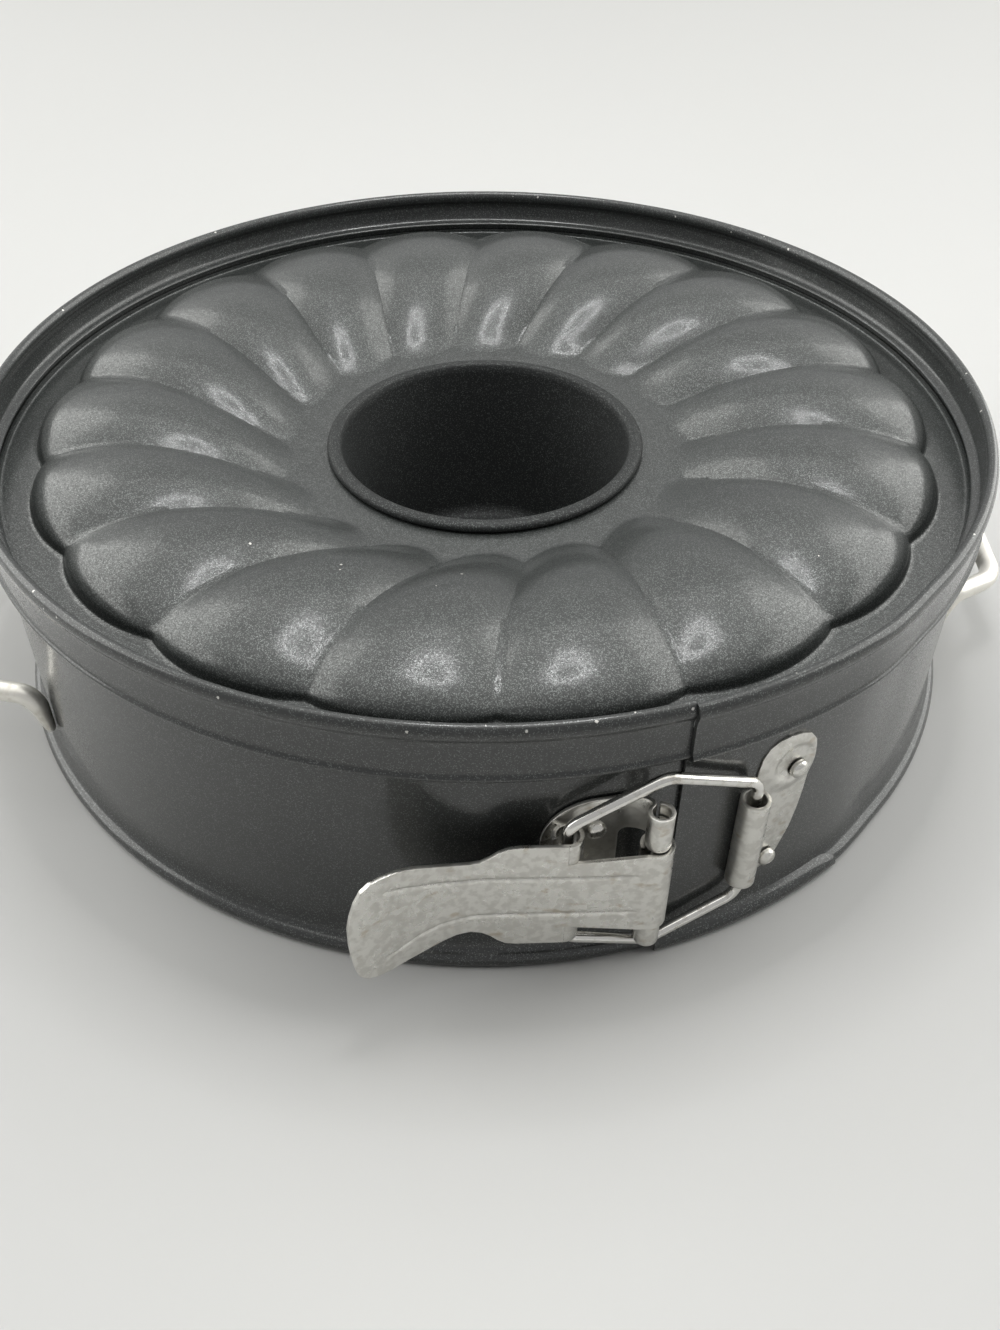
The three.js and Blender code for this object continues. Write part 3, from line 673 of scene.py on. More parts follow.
@dataclass
class Piece:
    """A finished piece, and how it joins the part."""

    shape: bpy.types.Object
    body: Body
    slot: Slot
    stands_for: tuple[str, ...]

    def hand_over(self) -> None:
        """Puts the piece on its body, in place of its nodes."""
        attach(self.shape, self.body.value)
        self.declare()

    def hand_over_bent(self, other: Body, start: Sequence[float], end: Sequence[float]) -> None:
        """Bakes the piece's place into its mesh and hides its nodes; it goes on no body.

        Args:
            other: The body at the far end; not used.
            start: Where the piece would leave its first body; not used.
            end: Where it would follow the other body fully; not used.
        """
        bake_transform(self.shape)
        self.declare()

    def declare(self) -> None:
        """Hides the nodes that the piece stands for and logs the piece."""
        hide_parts(*self.stands_for)
        logger.info("%s: %d faces on %s", self.shape.name, len(self.shape.data.polygons), self.body.value)


def dressed(shape: bpy.types.Object, material: bpy.types.Material) -> bpy.types.Object:
    """Gives an object one material."""
    shape.data.materials.clear()
    shape.data.materials.append(material)
    return shape


def knocked_above(shape: bpy.types.Object, height: float) -> None:
    """Lets knocks show on an object above a height.

    Args:
        shape: The object.
        height: Millimetres over the table.
    """
    marks = shape.data.attributes.new(KNOCKED, "FLOAT", "POINT")
    for mark, vertex in zip(marks.data, shape.data.vertices):
        mark.value = float(vertex.co.z > height * MM)


@dataclass
class FlutedBase:
    """The pressed base: eighteen domed lobes that swirl towards the tube."""

    lobes: int = 18
    steps_per_lobe: int = 24
    rows: int = 91
    radius: float = 118.2
    edge_rise: float = 0.9
    edge_round: float = 0.6
    flange: float = 7.0
    ring_drop: float = 5.6
    lobe_height: float = 14.4
    valley_height: float = 11.2
    tip_radius: float = 47.3
    cusp_depth: float = 2.8
    tip_cusp_depth: float = 3.6
    turn: float = 1.1
    swirl: float = 10.0
    arch: float = 2.2
    hole: float = 37.6
    reach: float = 130.0
    tall: float = 80.0
    weld: float = 0.02
    knocks_from: float = 62.0

    def lines(self) -> tuple[list[Point2], list[Point2]]:
        """Draws the base's line over a lobe and along a valley.

        Returns:
            The crest and the valley, as radius and height from the edge to the hole.
        """
        edge_top = SHELF - FIT_GAP
        flange_top = edge_top - self.edge_rise
        floor = flange_top - self.ring_drop
        foot = self.radius - self.flange
        tip = self.tip_radius
        run = foot - tip
        inner = self.radius - SHEET
        edge = [
            (inner, edge_top),
            (inner, flange_top + self.edge_round),
            (inner - self.edge_round, flange_top),
        ]

        def line(height: float, stops: Sequence[Point2]) -> list[Point2]:
            """Draws a line from shares of the run and the height."""
            return [(tip + run * share, floor + height * rise) for share, rise in stops]

        over = ((0.98, 0.569), (0.945, 0.715), (0.897, 0.819), (0.825, 0.903), (0.731, 0.972), (0.637, 1))
        down = ((0.52, 0.972), (0.402, 0.868), (0.285, 0.674), (0.167, 0.396), (0.066, 0.125), (0, 0.007))
        crest_line = edge + [(foot, flange_top)] + line(self.lobe_height, over + down)
        over = ((0.933, 0.661), (0.9, 0.777), (0.85, 0.875), (0.778, 0.946), (0.7, 0.991), (0.621, 1))
        down = ((0.512, 0.938), (0.402, 0.795), (0.3, 0.598), (0.207, 0.366), (0.12, 0.134))
        down += ((self.tip_cusp_depth / run, 0.009),)
        valley_line = edge + [(foot - self.cusp_depth, flange_top)] + line(self.valley_height, over + down)
        end = [(tip - self.tip_cusp_depth, floor), (self.hole, floor)]
        return crest_line + end, valley_line + end

    def tree(self) -> bpy.types.NodeTree:
        """Builds the tree that forms the lobes on a grid.

        Returns:
            The tree.
        """
        kinds = (("Lobes", "Int"), ("Steps per Lobe", "Int"), ("Rows", "Int"))
        kinds += (("Arch", "Float"), ("Turn", "Float"), ("Swirl", "Float"))
        graph = GeometryTree("lobed_base", [(label, f"NodeSocket{kind}") for label, kind in kinds])
        around = graph.input("Lobes") * graph.input("Steps per Lobe") + 1.0
        size = {"Size X": 1.0, "Size Y": 1.0, "Vertices X": around, "Vertices Y": graph.input("Rows")}
        grid = graph.node("GeometryNodeMeshGrid", None, size)
        position = graph.node("GeometryNodeInputPosition").outputs[0]
        place = graph.node("ShaderNodeSeparateXYZ", None, {0: position})
        turn = graph.value(place, "X") + 0.5
        row = graph.value(place, "Y") + 0.5
        phase = ((turn * graph.input("Lobes")).alone("FRACT") * 2.0 - 1.0).alone("ABSOLUTE")
        rise = 1.0 - phase ** graph.input("Arch")

        def follow(line: list[Point2], part: int, full: float) -> Value:
            """Reads a line's radius or height at the row."""
            last = len(line) - 1
            points = [(index / last, spot[part] / full) for index, spot in enumerate(line)]
            made = graph.node("ShaderNodeFloatCurve", {"curve": points}, {"Value": row})
            return graph.value(made) * (full * MM)

        crest_line, valley_line = self.lines()
        low_radius = follow(valley_line, 0, self.reach)
        low_height = follow(valley_line, 1, self.tall)
        radius = low_radius + (follow(crest_line, 0, self.reach) - low_radius) * rise
        height = low_height + (follow(crest_line, 1, self.tall) - low_height) * rise
        foot = (self.radius - self.flange) * MM
        along = ((foot - radius) / (foot - self.tip_radius * MM)).at_least(0.0)
        angle = turn * math.tau + graph.input("Turn") + graph.input("Swirl") * along * along
        spot = {
            "X": radius * angle.alone("SINE"),
            "Y": AXIS_SHIFT * MM - radius * angle.alone("COSINE"),
            "Z": height,
        }
        moved = graph.node("ShaderNodeCombineXYZ", None, spot)
        formed = {"Geometry": grid.outputs["Mesh"], "Position": moved.outputs[0]}
        shaped = graph.node("GeometryNodeSetPosition", None, formed)
        closed = {"Geometry": shaped.outputs[0], "Distance": self.weld * MM}
        return graph.end(graph.node("GeometryNodeMergeByDistance", None, closed).outputs[0])

    def build(self, material: bpy.types.Material) -> Piece:
        """Forms the base.

        Args:
            material: Its coating.

        Returns:
            The piece.
        """
        shape = placed("fluted_base_skin", bpy.data.meshes.new("fluted_base_skin"))
        inputs = {
            "Lobes": self.lobes,
            "Steps per Lobe": self.steps_per_lobe,
            "Rows": self.rows,
            "Arch": self.arch,
            "Turn": math.radians(self.turn),
            "Swirl": math.radians(self.swirl),
            "Material": material,
        }
        with_tree(shape, self.tree(), inputs)
        thickened(shape, SHEET)
        made = dressed(baked(shape), material)
        made.data.set_sharp_from_angle(angle=FOLD)
        knocked_above(made, self.knocks_from)
        return Piece(made, Body.BASE, Slot.COATED, ("fluted_base",))


@dataclass
class CentreTube:
    """The tapered tube with its rolled rim, crimped into the base."""

    radius: float = 36.3
    taper: float = 5.8
    floor: float = 9.0
    rim_width: float = 3.8
    rim_height: float = 2.0
    seat: float = 52.7
    under: float = 51.4
    crimp: float = 1.6
    foot_round: float = 3.6
    sides: int = 144

    def outline(self) -> np.ndarray:
        """Draws the tube's section.

        Returns:
            Radius and height of each point, from the middle of the floor's underside to its top.
        """
        neck = self.radius + SHEET
        foot = self.radius - self.taper
        rim = self.radius + self.rim_width
        pole = 0.05
        bow = self.foot_round
        low = [(0.83, 0.0), (0.4, 0.08), (0.17, 0.28)]
        points = [(pole, self.floor)]
        points += [(foot - bow * inset, self.floor + bow * rise) for inset, rise in low]
        points += [(foot + SHEET, self.floor + bow)]
        crimps = [(-0.19, 1.06), (0.5, 0.85), (1, 0.56), (1, 0.25), (0.4, 0.04), (0, 0)]
        points += [(neck + self.crimp * out, self.under - self.crimp * drop) for out, drop in crimps]
        points += [(neck, self.seat)]
        curls = [(0.1, 0), (0.02, 0.14), (0, 0.36), (0.05, 0.62), (0.13, 0.79), (0.35, 0.95)]
        curls += [(0.6, 1), (0.78, 0.9), (0.9, 0.66)]
        wide, tall = self.rim_width, self.rim_height
        points += [(rim - wide * inset, self.seat + tall * rise) for inset, rise in curls]
        points += [(self.radius, self.seat - 0.6), (foot, self.floor + bow * 1.06)]
        points += [(foot - bow * 0.33, self.floor + bow * 0.44)]
        points += [(foot - bow * 0.83, self.floor + SHEET), (pole, self.floor + SHEET)]
        return np.array(points)

    def build(self, material: bpy.types.Material) -> Piece:
        """Turns the section round the axis.

        Args:
            material: Its coating.

        Returns:
            The piece.
        """
        shape = dressed(turned("centre_tube_skin", self.outline(), self.sides), material)
        return Piece(shape, Body.BASE, Slot.COATED, ("centre_tube",))


@dataclass
class RingBand:
    """The lapped band: a rolled rim, a straight wall, a lip that traps the base, and a hemmed skirt."""

    rim_reach: float = 3.29
    rim_roll: float = 3.9
    rim_flare: float = 7.0
    hem_reach: float = 2.5
    hem_roll: float = 3.6
    skirt_step: float = 1.6
    skirt_lean: float = 0.8
    lip_depth: float = 1.2
    lip_height: float = 2.9
    seam: float = 18.0
    lap_end: float = 40.0
    lap_ramp: float = 7.0
    lap_shift: float = 1.1
    side: float = 120.0
    step: float = 1.5
    lap_steps: int = 20
    seam_gap: float = 0.05
    knocks_from: float = 68.4

    def section(self) -> np.ndarray:
        """Draws the band's section.

        Returns:
            Radius and height round the closed section, up the outside and down the inside.
        """
        wall, inside, top = WALL_RADIUS, WALL_RADIUS - SHEET, PAN_HEIGHT
        skirt = wall + self.hem_reach - SHEET

        def rim(share: float, height: float) -> Point2:
            """Places a point of the rolled rim."""
            return wall + self.rim_reach * share, self.rim_roll * height

        def flare(start: float, share: float, height: float) -> Point2:
            """Places a point where the wall flares to the rim."""
            return start + self.rim_reach * share, self.rim_roll + self.rim_flare * height

        def jog(share: float, height: float) -> Point2:
            """Places a point of the step out to the skirt."""
            return wall + (self.hem_reach - SHEET) * share, SHELF + self.skirt_step * height

        def hem(share: float, depth: float) -> Point2:
            """Places a point of the hem's roll."""
            return wall + self.hem_reach - self.hem_roll * share, top - self.hem_roll * depth

        def lip(share: float, height: float) -> Point2:
            """Places a point of the lip over the base."""
            return inside - self.lip_depth * share, SHELF + self.lip_height * height

        outside = [rim(0.33, 0), rim(0.73, 0), rim(1, 0.26), rim(1, 0.62), rim(0.76, 0.9), rim(0.45, 1)]
        outside += [flare(wall, 0.18, 0.27), flare(wall, 0.06, 0.57), flare(wall, 0, 1)]
        outside += [jog(0, -3.2), jog(0, -2.8), jog(0.2, -2.4), jog(0.7, -2.1), jog(1.15, -1.8)]
        outside += [jog(1.36, -1.4), jog(1.34, -1.05), jog(1.06, -0.75), jog(1, -0.3)]
        outside += [(skirt, top - self.hem_roll * 1.11)]
        outside += [hem(0.03, 0.8), hem(0, 0.5), hem(0.14, 0.15), hem(0.39, 0)]
        inner = [hem(0.67, 0.12), hem(0.8, 0.42), hem(0.75, 0.78)]
        inner += [(skirt - SHEET, top - self.hem_roll * 1.11)]
        inner += [(skirt - SHEET - self.skirt_lean, SHELF + self.lip_height * 1.1)]
        inner += [(skirt - SHEET - self.lip_depth, SHELF + self.lip_height * 0.78)]
        inner += [lip(0.83, 0.59), lip(1, 0.45), lip(0.83, 0.31), lip(0, 0.2)]
        inner += [flare(inside, 0, 1), flare(inside, 0.06, 0.57), flare(inside, 0.18, 0.23)]
        inner += [(inside + self.rim_reach * 0.27, self.rim_roll * 0.8), rim(0.12, 0.3)]
        return rounded_off(np.array(outside + inner))

    def lapped(self, angle: np.ndarray) -> np.ndarray:
        """Gives how far the right end is set out over the left end, in millimetres."""
        return self.lap_shift * np.clip(1 - (angle - self.lap_end) / self.lap_ramp, 0, 1)

    def swept(
        self, name: str, section: np.ndarray, angles: np.ndarray, capped: Sequence[bool] = (True, True)
    ) -> bpy.types.Object:
        """Carries a section round the axis.

        Args:
            name: The object's name.
            section: Radius and height of its points, the same or others at each angle.
            angles: The angles, in degrees.
            capped: Whether the first and the last end are closed.

        Returns:
            The object.
        """
        size = section.shape[-2]
        points = polar(angles[:, None], section[..., 0], section[..., 1])
        faces = grid_faces(len(angles), size, True)
        last = (len(angles) - 1) * size
        ends = tuple(range(size)), tuple(range(last, last + size))[::-1]
        faces += [end for end, closed in zip(ends, capped) if closed]
        return mesh_object(name, points, faces)

    def arc(
        self, name: str, start: float, stop: float, over: bool, capped: Sequence[bool]
    ) -> bpy.types.Object:
        """Carries the band's section through an arc.

        Args:
            name: The object's name.
            start: The first angle, in degrees.
            stop: The last angle.
            over: Whether its start is set out over the other end.
            capped: Whether the first and the last end are closed.

        Returns:
            The object.
        """
        angles = np.linspace(start, stop, math.ceil((stop - start) / self.step) + 1)
        section = np.repeat(self.section()[None], len(angles), axis=0)
        if over:
            section[..., 0] += self.lapped(angles)[:, None]
        return self.swept(name, section, angles, capped)

    def tongue(self) -> bpy.types.Object:
        """Makes the plain end that slides inside the right end.

        Returns:
            The object.
        """
        low, high = self.rim_roll + 0.64 * self.rim_flare, SHELF - 2.0
        inside = WALL_RADIUS - SHEET
        section = np.array([(WALL_RADIUS, low), (WALL_RADIUS, high), (inside, high), (inside, low)])
        angles = np.linspace(self.seam - 1.0, self.lap_end, self.lap_steps)
        return self.swept("ring_tongue_skin", section[None], angles)

    def rim_layer(self) -> bpy.types.Object:
        """Makes the end of the left rim that laps over the outside of the right rim.

        Returns:
            The object.
        """
        rim = np.array([(0.0, 1.36), (0.3, 1.18), (0.8, 1.0), (1.12, 0.66), (1.12, 0.24), (0.86, 0.02)])
        outer = rim * (self.rim_reach, self.rim_roll) + (WALL_RADIUS + self.lap_shift, 0.0)
        thin = [(0.1, 0.0), (0.5, 0.0), (0.5, 0.0), (0.5, 0.3), (0.3, 0.4), (0.1, 0.3)]
        section = rounded_off(np.concatenate((outer, outer[::-1] - thin)), 1)[::-1]
        stop = self.lap_end - 0.6
        angles = np.linspace(self.seam - 1.4, stop, self.lap_steps)
        ease = np.clip((stop - angles) / 2.5, 0, 1)
        layers = np.repeat(section[None], len(angles), axis=0)
        layers[..., 1] = layers[..., 1] * (0.86 + 0.14 * np.sqrt(ease))[:, None] + 0.02
        return self.swept("ring_rim_layer_skin", layers, angles)

    def build(self, material: bpy.types.Material) -> tuple[list[Piece], Piece]:
        """Makes the band in three arcs, with its tongue and the lap of its rim.

        Args:
            material: Its coating.

        Returns:
            The stiff pieces, and the arc at the back.
        """
        gap = wall_angle(self.seam_gap)
        left = self.arc("ring_left_skin", -180.0, self.seam - gap, False, (False, True))
        right = self.arc("ring_right_skin", self.seam, self.side, True, (True, False))
        back = self.arc("ring_back_skin", self.side, 180.0, False, (False, False))
        for shape in (left, right, back):
            dressed(shape, material)
            knocked_above(shape, self.knocks_from)
        tongue = dressed(self.tongue(), material)
        layer = dressed(self.rim_layer(), material)
        stiff = [Piece(shape, Body.RING, Slot.COATED, ("ring_band_left",)) for shape in (left, tongue, layer)]
        stiff.append(Piece(right, Body.FREE_END, Slot.COATED, ("ring_band_right",)))
        return stiff, Piece(back, Body.RING, Slot.COATED, ("ring_band_right",))

    def spring_points(self) -> tuple[Vector, Vector]:
        """Gives the points at the two ends of the back arc, at the back and towards the right."""
        back, right = in_frame(polar(np.array([180.0, self.side]), WALL_RADIUS, PAN_HEIGHT / 2))
        return Vector(back), Vector(right)


def arc_points(centre: Point2, radius: float, start: float, stop: float, count: int = 14) -> list[Point2]:
    """Lists points of a circle's arc.

    Args:
        centre: The circle's middle.
        radius: Its radius.
        start: The first angle, in degrees.
        stop: The last angle.
        count: How many points.

    Returns:
        The points.
    """
    turns = np.radians(np.linspace(start, stop, count))
    return [(centre[0] + radius * math.cos(turn), centre[1] + radius * math.sin(turn)) for turn in turns]


@dataclass
class SheetPatch:
    """A flat outline, filled with small faces and then bent to its place."""

    outline: list[Point2]
    fine: Point2
    clear: float = 0.55

    def edge(self) -> np.ndarray:
        """Splits the outline's long edges.

        Returns:
            The points round the outline.
        """
        points = []
        for start, stop in zip(self.outline, self.outline[1:] + self.outline[:1]):
            start, stop = np.array(start), np.array(stop)
            count = max(int(np.ceil(np.max(np.abs(stop - start) / np.array(self.fine)))), 1)
            points += [start + (stop - start) * index / count for index in range(count)]
        return np.array(points)

    def filled(self) -> tuple[np.ndarray, list[list[int]]]:
        """Fills the outline.

        Returns:
            Flat points and the corner numbers of each face.
        """
        edge = self.edge()
        low, high = edge.min(axis=0), edge.max(axis=0)
        across = np.arange(low[0] + self.fine[0] / 2, high[0], self.fine[0])
        along = np.arange(low[1] + self.fine[1] / 2, high[1], self.fine[1])
        inner = np.stack(np.meshgrid(across, along, indexing="ij"), axis=-1).reshape(-1, 2)
        away = np.linalg.norm((inner[:, None] - edge[None]) / np.array(self.fine), axis=-1)
        inner = inner[np.min(away, axis=1) > self.clear]
        points = [Vector(point) for point in np.concatenate((edge, inner))]
        loop = [list(range(len(edge)))]
        flat, _, faces, _, _, _ = delaunay_2d_cdt(points, [], loop, 1, 1e-6)
        return np.array([tuple(point) for point in flat]), [list(face) for face in faces]


def bent_sheet(name: str, patches: Sequence[tuple[SheetPatch, Mapping]]) -> bpy.types.Object:
    """Bends patches to their places, gives them the plates' thickness and wears their edges.

    Args:
        name: The object's name.
        patches: Each patch, with what places its flat points in millimetres.

    Returns:
        The object, a plain mesh.
    """
    points, faces = [], []
    for patch, mapping in patches:
        flat, flat_faces = patch.filled()
        first = sum(len(part) for part in points)
        points.append(mapping(flat[:, 0], flat[:, 1]))
        faces += [[first + corner for corner in face] for face in flat_faces]
    shape = mesh_object(name, np.concatenate(points), faces, 180.0)
    thickened(shape, PLATE_SHEET)
    worn = shape.modifiers.new("worn_edge", "BEVEL")
    worn.width = 0.14 * MM
    worn.segments = 2
    worn.limit_method = "ANGLE"
    worn.angle_limit = math.radians(60)
    made = baked(shape)
    made.data.shade_smooth()
    made.data.set_sharp_from_angle(angle=FOLD)
    return made


@dataclass
class LatchBase:
    """The plate on the left end of the band, with its two rolled knuckles, and the pin."""

    angle: float = 15.0
    standoff: float = 6.4
    pin_radius: float = 1.5
    knuckle: float = 2.6
    rise: float = 20.4
    drop: float = 18.2
    opening: float = 11.5
    length: float = 21.2
    corner: float = 11.0
    slot_corner: float = 1.8
    step: float = 3.4
    curl: float = 330.0
    curl_start: float = -72.0
    pin_sides: int = 28
    rivet_setback: float = 10.4
    rivet_rise: float = 12.0
    rivet_drop: float = 9.8

    def path(self) -> tuple[np.ndarray, np.ndarray]:
        """Draws the plate's outer face seen from above, from its left end into the knuckle.

        Returns:
            The length along the plate, nothing where the step starts, and the plan points there.
        """
        outer = WALL_RADIUS + FIT_GAP + PLATE_SHEET
        step = self.knuckle + self.step
        reaches = np.linspace(-self.length, -step, 30)
        turns = reaches / WALL_RADIUS
        wall = np.stack((outer * np.sin(turns), outer * np.cos(turns)), axis=-1)
        hub = np.array((0.0, WALL_RADIUS + self.standoff))
        around = np.radians(np.linspace(self.curl_start, self.curl + self.curl_start, 60))
        roll = hub + self.knuckle * np.stack((-np.cos(around), np.sin(around)), axis=-1)
        start, stop = wall[-1], roll[0]
        share = np.linspace(0, 1, 14)[1:-1, None]
        leave, arrive = start + (2.4, 0.0), stop - (0.6, 1.5)
        ramp = (1 - share) ** 3 * start + 3 * share * (1 - share) ** 2 * leave
        ramp += 3 * share**2 * (1 - share) * arrive + share**3 * stop
        line = np.concatenate((wall, ramp, roll))
        lengths = np.concatenate(((0.0,), np.cumsum(np.linalg.norm(np.diff(line, axis=0), axis=1))))
        return lengths - lengths[len(wall) - 1], line

    def build(self, material: bpy.types.Material) -> Piece:
        """Rolls the plate.

        Args:
            material: Its plating.

        Returns:
            The piece.
        """
        lengths, line = self.path()
        left, right = lengths[0], lengths[-1]
        round_, slot = self.corner, self.slot_corner
        outline = arc_points((left + round_, self.rise - round_), round_, 180, 90)
        outline += [(right, self.rise), (right, self.opening), (slot, self.opening)]
        outline += arc_points((slot, self.opening - slot), slot, 90, 180, 6)[1:]
        outline += arc_points((slot, slot - self.opening), slot, 180, 270, 6)
        outline += [(right, -self.opening), (right, -self.drop)]
        outline += arc_points((left + round_, round_ - self.drop), round_, 270, 180)
        outline.reverse()

        def mapping(along: np.ndarray, up: np.ndarray) -> np.ndarray:
            """Wraps the flat plate."""
            side = np.interp(along, lengths, line[:, 0])
            out = np.interp(along, lengths, line[:, 1])
            return on_wall(self.angle, side, out, up)

        patch = SheetPatch(outline, (0.5, 1.2))
        shape = dressed(bent_sheet("latch_base_plate_skin", [(patch, mapping)]), material)
        return Piece(shape, Body.RING, Slot.PLATED, ("latch_base_plate",))

    def build_pin(self, material: bpy.types.Material) -> Piece:
        """Turns the pin, whose ends are a little inside the knuckles.

        Args:
            material: Its steel.

        Returns:
            The piece.
        """
        radius, low, high = self.pin_radius, 1.2 - self.drop, self.rise - 2.4
        outline = np.array([
            (0.02, low), (radius * 0.6, low + 0.05), (radius, low + 0.5),
            (radius, high - 0.5), (radius * 0.6, high - 0.05), (0.02, high),
        ])
        middle = polar(self.angle, WALL_RADIUS + self.standoff, LATCH_HEIGHT)
        shape = dressed(turned("lever_pivot_pin_skin", outline, self.pin_sides, middle), material)
        return Piece(shape, Body.RING, Slot.WIRE, ("lever_pivot_pin",))


@dataclass
class LatchLever:
    """The lever: a barrel on the pin, two curled lugs, a waist and a thumb tab that bows out."""

    base: LatchBase
    tuck: float = 13.5
    lug_setback: float = 17.3
    lug_half: float = 14.8
    neck: float = 9.6
    barrel_half: float = 11.2
    bow_start: float = 31.0
    bow_radius: float = 43.5
    bow_angle: float = 27.0
    curl_radius: float = 2.3
    crease_depth: float = 0.42
    crease_width: float = 0.36

    def spot(self, along: np.ndarray, up: np.ndarray, out: np.ndarray) -> np.ndarray:
        """Places points given from the pivot along the lever, in height and outwards."""
        pivot = polar(self.base.angle, WALL_RADIUS + self.base.standoff, LATCH_HEIGHT)
        turn = math.radians(180 + self.base.angle - self.tuck)
        x = pivot[0] + along * math.cos(turn) - out * math.sin(turn)
        y = pivot[1] + along * math.sin(turn) + out * math.cos(turn)
        return np.stack((x, y, pivot[2] + up), axis=-1)

    def creases(self, along: np.ndarray, up: np.ndarray) -> np.ndarray:
        """Gives the depth of the two pressed lines, in millimetres."""
        upper = np.interp(along, (2, 17, 38, 46, 52), (5.6, 5.5, 6.0, 7.6, 9.6))
        lower = np.interp(along, (2, 22, 36, 42, 46, 52), (-5.4, -5.3, -5.2, -6.0, -7.4, -10.2))
        shown = np.clip((along - 3) / 3, 0, 1) * np.clip((54 - along) / 5, 0, 1)
        depth = np.exp(-(((up - upper) / self.crease_width) ** 2))
        depth += np.exp(-(((up - lower) / self.crease_width) ** 2))
        return self.crease_depth * depth * shown

    def blade(self, along: np.ndarray, up: np.ndarray) -> np.ndarray:
        """Bends the flat lever: its barrel, its straight part and the bowed tab."""
        face = self.base.knuckle
        turn = np.clip(-along, 0, None) / face
        lim = self.bow_start + self.bow_radius * math.sin(math.radians(self.bow_angle))
        bow = np.clip(along, self.bow_start, lim) - self.bow_start
        out = face + self.bow_radius - np.sqrt(self.bow_radius**2 - bow**2)
        out += np.clip(along - lim, 0, None) * math.tan(math.radians(self.bow_angle))
        out -= self.creases(along, up)
        rolled = along < 0
        along = np.where(rolled, -face * np.sin(turn), along)
        out = np.where(rolled, face * np.cos(turn), out)
        return self.spot(along, up, out)

    def curled(self, along: np.ndarray, up: np.ndarray) -> np.ndarray:
        """Bends a lug's end round the wire."""
        turn = np.clip(self.lug_setback - along, 0, None) / self.curl_radius
        middle = self.base.knuckle - self.curl_radius
        x = np.where(turn > 0, self.lug_setback - self.curl_radius * np.sin(turn), along)
        return self.spot(x, up, middle + self.curl_radius * np.cos(turn))

    def outline(self) -> list[Point2]:
        """Draws the lever seen from outside, from its barrel round the tab.

        Returns:
            The points, along the lever and in height.
        """
        roll = -math.radians(285) * self.base.knuckle
        upper = [(self.lug_setback, self.lug_half), (26.5, 14.9), (28.6, 14.6), (30.4, 13.6), (32.2, 12.0)]
        upper += [(34.0, 11.0), (36.0, 10.8), (39.5, 11.2), (43.3, 12.1), (46.5, 13.2), (49.4, 13.9)]
        upper += [(52.0, 14.0), (54.4, 13.6), (56.2, 12.3), (57.5, 9.8), (58.5, 6.5), (59.1, 3.2)]
        lower = [(59.2, -1.5), (59.0, -6.0), (58.5, -10.4), (57.9, -12.6), (56.6, -14.2), (54.4, -15.0)]
        lower += [(52.0, -14.9), (49.3, -14.2), (46.8, -13.5), (44.1, -12.5), (41.4, -11.3), (38.8, -10.3)]
        lower += [(36.0, -10.0), (33.8, -10.7), (32.1, -11.9), (30.6, -13.4), (29.0, -14.5), (27.0, -14.8)]
        lower += [(self.lug_setback, -self.lug_half)]
        neck = [(self.lug_setback, -self.neck), (2.6, -self.barrel_half), (roll, -self.barrel_half)]
        neck += [(roll, self.barrel_half), (2.6, self.barrel_half), (self.lug_setback, self.neck)]
        return neck + upper + lower

    def build(self, material: bpy.types.Material) -> Piece:
        """Presses the lever.

        Args:
            material: Its plating.

        Returns:
            The piece.
        """
        roll = self.lug_setback - math.radians(290) * self.curl_radius
        near = self.lug_setback + 0.01
        blade = self.outline()
        blade.reverse()
        patches = [(SheetPatch(blade, (0.5, 0.3)), self.blade)]
        for low, high in ((self.neck, self.lug_half), (-self.lug_half, -self.neck)):
            strip = [(roll, low), (near, low), (near, high), (roll, high)]
            strip.reverse()
            patches.append((SheetPatch(strip, (0.35, 0.8)), self.curled))
        shape = dressed(bent_sheet("latch_lever_skin", patches), material)
        return Piece(shape, Body.LEVER, Slot.PLATED, ("latch_lever",))

    def lug(self) -> np.ndarray:
        """Gives the middle of the curls, in plan."""
        middle = self.base.knuckle - self.curl_radius
        return self.spot(np.array(self.lug_setback), np.array(0.0), np.array(middle))


